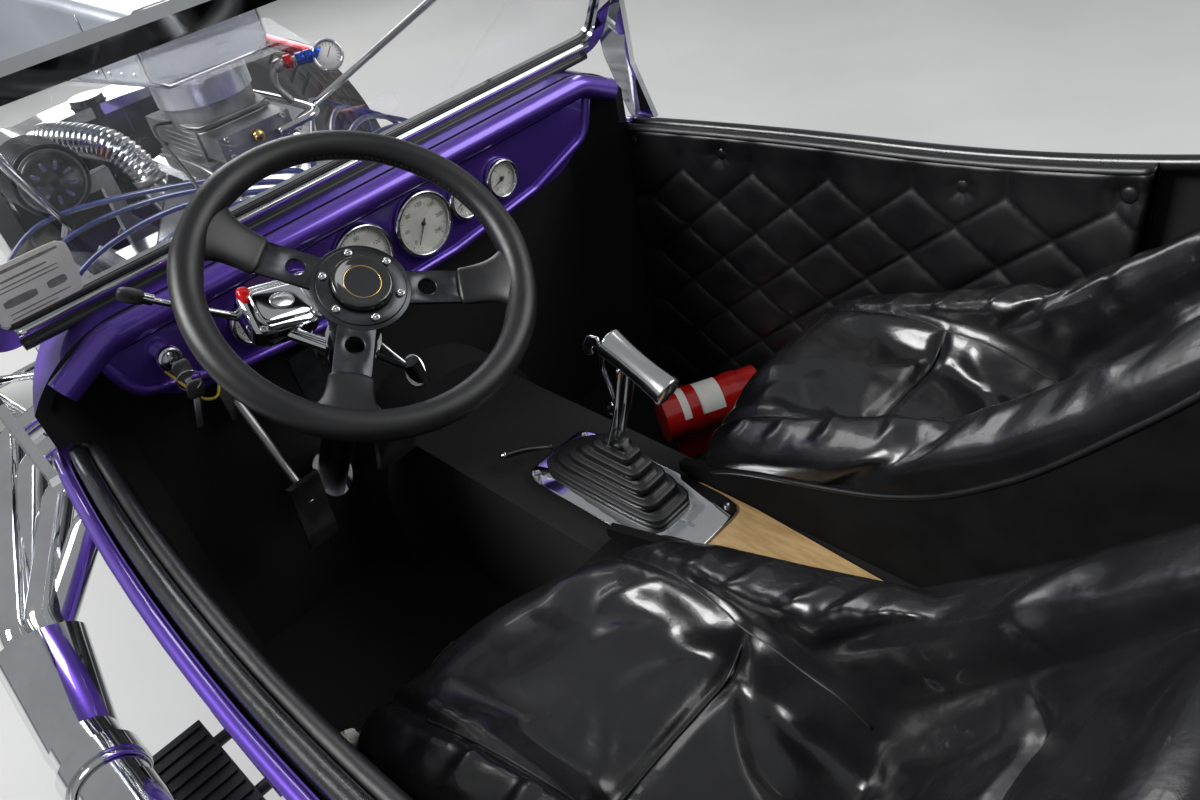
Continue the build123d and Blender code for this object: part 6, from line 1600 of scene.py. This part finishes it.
SILL_LINES = (("bead", 0.0075, 0.0095, 0.0042, chrome, 14),
              ("gasket", 0.0150, 0.0040, 0.0030, black_rubber, 10),
              ("foot", -0.0130, 0.0100, 0.0060, black_rubber, 14))
for name, rise, out, radius, finish, sides in SILL_LINES:
    line = np.array([on_glass(y, rise, out) for y in np.linspace(-0.432, 0.432, 60)])
    sill_parts.append(tube(f"sill_{name}", line, radius, finish, sides=sides))
glass_sill = merge("glass_sill", sill_parts)
spoon_axes = directions((-0.75, 0.25, 0.62), (0.1, -0.15, 1.0))[0]
spoon_parts = [
    spread("spoon_pad", pillow((0.021, 0.013, 0.0022), 0.95), (-0.334, 0.100, 0.721), spoon_axes, polished),
    tube("spoon_rod", curve_through([(-0.332, 0.102, 0.724), (-0.318, 0.112, 0.748), (-0.280, 0.120, 0.775),
                                     (-0.215, 0.122, 0.782)], 40), 0.0030, chrome, sides=10),
]
spoon = merge("throttle_spoon", spoon_parts)
print("card bars:", len(bars), "lines at the foot:", len(SILL_LINES))

# %% [markdown]
# Tyres: the section runs over the side wall and the tread, and is carried round the axle. Grooves sink
# the tread where a wave across it and along it crosses a limit, which leaves blocks between them.

# %% Tyres
RIM_EDGE, TREAD_DEEP, SHOULDER_IN = 0.1956, 0.0065, 0.034


def tyre_section(radius, width):
    """Points across the tyre as (sideways, radius), from one bead over the tread to the other."""
    half, bead, shoulder = width / 2, width / 2 - 0.027, radius - 0.030
    middle = (RIM_EDGE + shoulder) / 2 - 0.005
    points = [(bead, RIM_EDGE), (bead, RIM_EDGE + 0.016), (half - 0.006, middle - 0.025),
              (half - 0.0025, middle), (half - 0.006, shoulder),
              (half - 0.014, radius - 0.010), (half - SHOULDER_IN, radius - 0.0006)]
    right_side = curve_through(points, 64)
    left_side = right_side[::-1] * (-1, 1)
    flat = np.linspace(right_side[-1], left_side[0], 48)[1:-1]
    return np.vstack([right_side, flat, left_side])


def treaded(name, body, centre, radius, width, pitch):
    """The section carried round: radius less TREAD_DEEP times the deeper of the ribs and the cross cuts."""
    section = tyre_section(radius, width)
    across, reach = section.T
    turn = full_turn(540)
    share = across / (width / 2 - SHOULDER_IN)
    ribs = np.max([smooth_step(1.4 - np.abs(share - place) / 0.05) for place in (-0.62, -0.2, 0.2, 0.62)], 0)
    wave = np.sin(pitch * turn[None, :] + 5.0 * np.abs(share)[:, None])
    cuts = smooth_step((wave - 0.80) / 0.14) * (np.abs(share)[:, None] > 0.2)
    on_top = smooth_step((reach - (radius - 0.012)) / 0.008)[:, None]
    walls = 0.0009 * smooth_step((np.sin(reach * 2 * np.pi / 0.022) - 0.6) / 0.3)[:, None] * (1 - on_top)
    deep = TREAD_DEEP * np.maximum(ribs[:, None], cuts) * on_top + walls
    r = reach[:, None] - deep
    grid = np.stack([centre[0] + r * np.sin(turn), centre[1] + across[:, None] + 0 * r,
                     centre[2] + r * np.cos(turn)], -1)
    piece = surface(name, grid, tyre_rubber, body, wrap_rows=True, wrap_columns=True, flip=True)
    return piece


print("front tyre section:", len(tyre_section(0.350, 0.165)), "points")

# %% [markdown]
# Every rim gets five nuts and a centre cap. They ride on their wheel, so they turn with it.

# %% Nuts and caps
NUT = turned(((0.0001, 0.0), (0.0105, 0.0), (0.0105, 0.010), (0.0080, 0.014), (0.0078, 0.022),
              (0.0040, 0.026), (0.0001, 0.0265)), 6)
NUT_REACH = 0.044
AXLES = (("front", 1.350, 0.665, 0.350, 0.165, 0.035, 44), ("rear", -1.280, 0.725, 0.385, 0.330, 0.070, 40))
WHEEL_PLACES = [(f"{end}_{word}", x, side * y, radius, width, side, inset, pitch)
                for word, side in (("left", 1), ("right", -1))
                for end, x, y, radius, width, inset, pitch in AXLES]
for name, x, y, radius, width, side, inset, pitch in WHEEL_PLACES:
    body = f"wheel_{name}"
    piece = treaded(f"tread_{name}", body, (x, y, radius), radius, width, pitch)
    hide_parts(f"tyre_{name}")
    face = y + side * (width / 2 - 0.018 - inset + 0.022)
    nut_turn = np.radians(np.arange(5) * 72.0 + 54.0)
    spots = np.stack([x + NUT_REACH * np.cos(nut_turn), np.full(5, face - side * 0.001),
                      radius + NUT_REACH * np.sin(nut_turn)], -1)
    nuts = spread(f"wheel_nuts_{name}", NUT, spots, directions((0.0, side, 0.0))[0], chrome, body)
    cap = lathe(f"hub_cap_{name}", ((-0.001, 0.001), (-0.001, 0.0290), (0.010, 0.0280), (0.017, 0.0200),
                                    (0.019, 0.001)), (x, face, radius), (0, side, 0), polished, body)
    trim = merge(f"wheel_trim_{name}", [nuts, cap])
print("wheels dressed:", len(WHEEL_PLACES))

# %% [markdown]
# Headlamps get a domed lens with upright flutes inside a bright rim; the round tail lamps get red lenses.

# %% Lamps
LAMP_X, LAMP_Y, LAMP_Z, LENS_R = 0.860, 0.372, 0.640, 0.081
RIM_PROFILE = ((0.036, 0.0815), (0.036, 0.0915), (0.044, 0.0915), (0.0485, 0.0880), (0.0470, 0.0820))
BULB_PROFILE = ((0.030, 0.0005), (0.031, 0.010), (0.037, 0.012), (0.0382, 0.0005))
TAIL_PROFILE = ((0.0, 0.001), (0.0, 0.0400), (0.0022, 0.0405), (0.0036, 0.0360), (0.0044, 0.001))
lens_parts = []
for side in (-1, 1):
    lamp = (LAMP_X, side * LAMP_Y, LAMP_Z)
    rows, columns = np.linspace(0.02, 1, 26)[:, None], full_turn(96)[None, :]
    across, high = LENS_R * rows * np.cos(columns), LENS_R * rows * np.sin(columns)
    bulge = 0.0065 * (1 - rows**2) + 0.0004 * np.cos(2 * np.pi * across / 0.011) * (rows < 0.93)
    grid = np.stack([LAMP_X + 0.0385 + bulge, side * LAMP_Y + across, LAMP_Z + high], -1)
    lens_parts += [
        surface(f"headlamp_lens_{side}", grid, lamp_glass, wrap_columns=True),
        lathe(f"headlamp_rim_{side}", RIM_PROFILE, lamp, (1, 0, 0), chrome, hollow=True, sides=72),
        lathe(f"headlamp_bulb_{side}", BULB_PROFILE, lamp, (1, 0, 0), polished),
        lathe(f"tail_lens_{side}", TAIL_PROFILE, (-1.6722, side * 0.380, LAMP_Z), (-1, 0, 0), red_lens),
    ]
lamp_glasses = merge("lamp_lenses", lens_parts)
print("lamp parts:", len(lens_parts))

# %% [markdown]
# Each side pipe wears raised bright bands where its sections meet, and rows of slots along its top. The slots
# are not cut: flat dull black pads stand for them, and their darkness is painted shade.

# %% Side pipe bands
PIPE_Y, PIPE_Z = 0.628, 0.415
BAND_PROFILE = ((-0.006, 0.0440), (-0.006, 0.0462), (-0.003, 0.0472), (0.003, 0.0472), (0.006, 0.0462),
                (0.006, 0.0440))
band_parts = []
for side in (-1, 1):
    for x in (-0.236, -0.262, -0.420, -0.600, -0.778):
        band_parts.append(lathe(f"pipe_band_{side}_{x}", BAND_PROFILE, (x, side * PIPE_Y, PIPE_Z), (1, 0, 0),
                                chrome, hollow=True, sides=56))
    # Painted shade: dull black pads stand for the shade inside the slots.
    slots = np.array([(x, side * PIPE_Y, PIPE_Z) for x in np.arange(-0.580, -0.440, 0.014)])
    for turn in np.radians((35.0, 70.0, 105.0, 140.0)):
        out = np.array([0.0, side * math.cos(turn), math.sin(turn)])
        band_parts.append(spread(f"pipe_slot_shade_pads_{side}_{turn:.2f}",
                                 pillow((0.0040, 0.0075, 0.0012), 0.7, 10, 18), slots + 0.0442 * out,
                                 np.stack([(1.0, 0, 0), np.cross(out, (1.0, 0, 0)), out]), dull_black))
pipe_trim = merge("pipe_trim", band_parts)
print("pipe bands and slots:", len(band_parts))

# %% [markdown]
# A pale floor and broad soft lights stand in for a studio. Large lamps make the long soft highlights that
# black vinyl and chrome need; the world fills the shadows. What the camera sees of the floor is lit like
# the rest, so the car's shadow shows on it.

# %% Floor and lights
floor_grid = np.stack(np.meshgrid(np.linspace(-30, 30, 3), np.linspace(-30, 30, 3), [0.0], indexing="ij"),
                      -1)[:, :, 0]
floor_finish = plain("pale_floor", (0.50, 0.50, 0.495), (0.54, 0.54, 0.535), (0.8, 0.9), size=1.5, grain=40,
                     strength=0.02)
floor_shape = bpy.data.meshes.new("floor")
floor_shape.from_pydata(floor_grid.reshape(-1, 3).tolist(), [], quads(3, 3).tolist())
floor_shape.materials.append(floor_finish)
floor = bpy.data.objects.new("floor", floor_shape)
link(floor)


def softbox(name, place, aim, size, power):
    """A square area lamp at a place, turned so that its back-to-front line runs to the aim."""
    lamp = bpy.data.lights.new(name, "AREA")
    lamp.shape, lamp.size, lamp.energy = "SQUARE", size, power
    holder = bpy.data.objects.new(name, lamp)
    back = np.asarray(place, float) - np.asarray(aim, float)
    back /= np.linalg.norm(back)
    across = np.cross((0.0, 0.0, 1.0), back)
    across /= np.linalg.norm(across)
    turn = np.eye(4)
    turn[:3, 0], turn[:3, 1], turn[:3, 2], turn[:3, 3] = across, np.cross(back, across), back, place
    holder.matrix_world = Matrix(turn.tolist())
    link(holder)


softbox("key_lamp", (1.2, 2.6, 3.6), (-0.5, 0.0, 0.6), 1.6, 210.0)
softbox("fill_lamp", (-2.6, -2.6, 3.0), (-0.3, 0.0, 0.6), 2.6, 80.0)
softbox("front_lamp", (4.2, -1.6, 2.6), (0.5, 0.0, 0.6), 2.2, 80.0)
world = bpy.data.worlds.new("studio")
bpy.context.scene.world = world
world.use_nodes = True
world.node_tree.nodes["Background"].inputs["Color"].default_value = (0.86, 0.88, 0.90, 1)
world.node_tree.nodes["Background"].inputs["Strength"].default_value = 0.40
bpy.context.scene.view_settings.view_transform = "Standard"
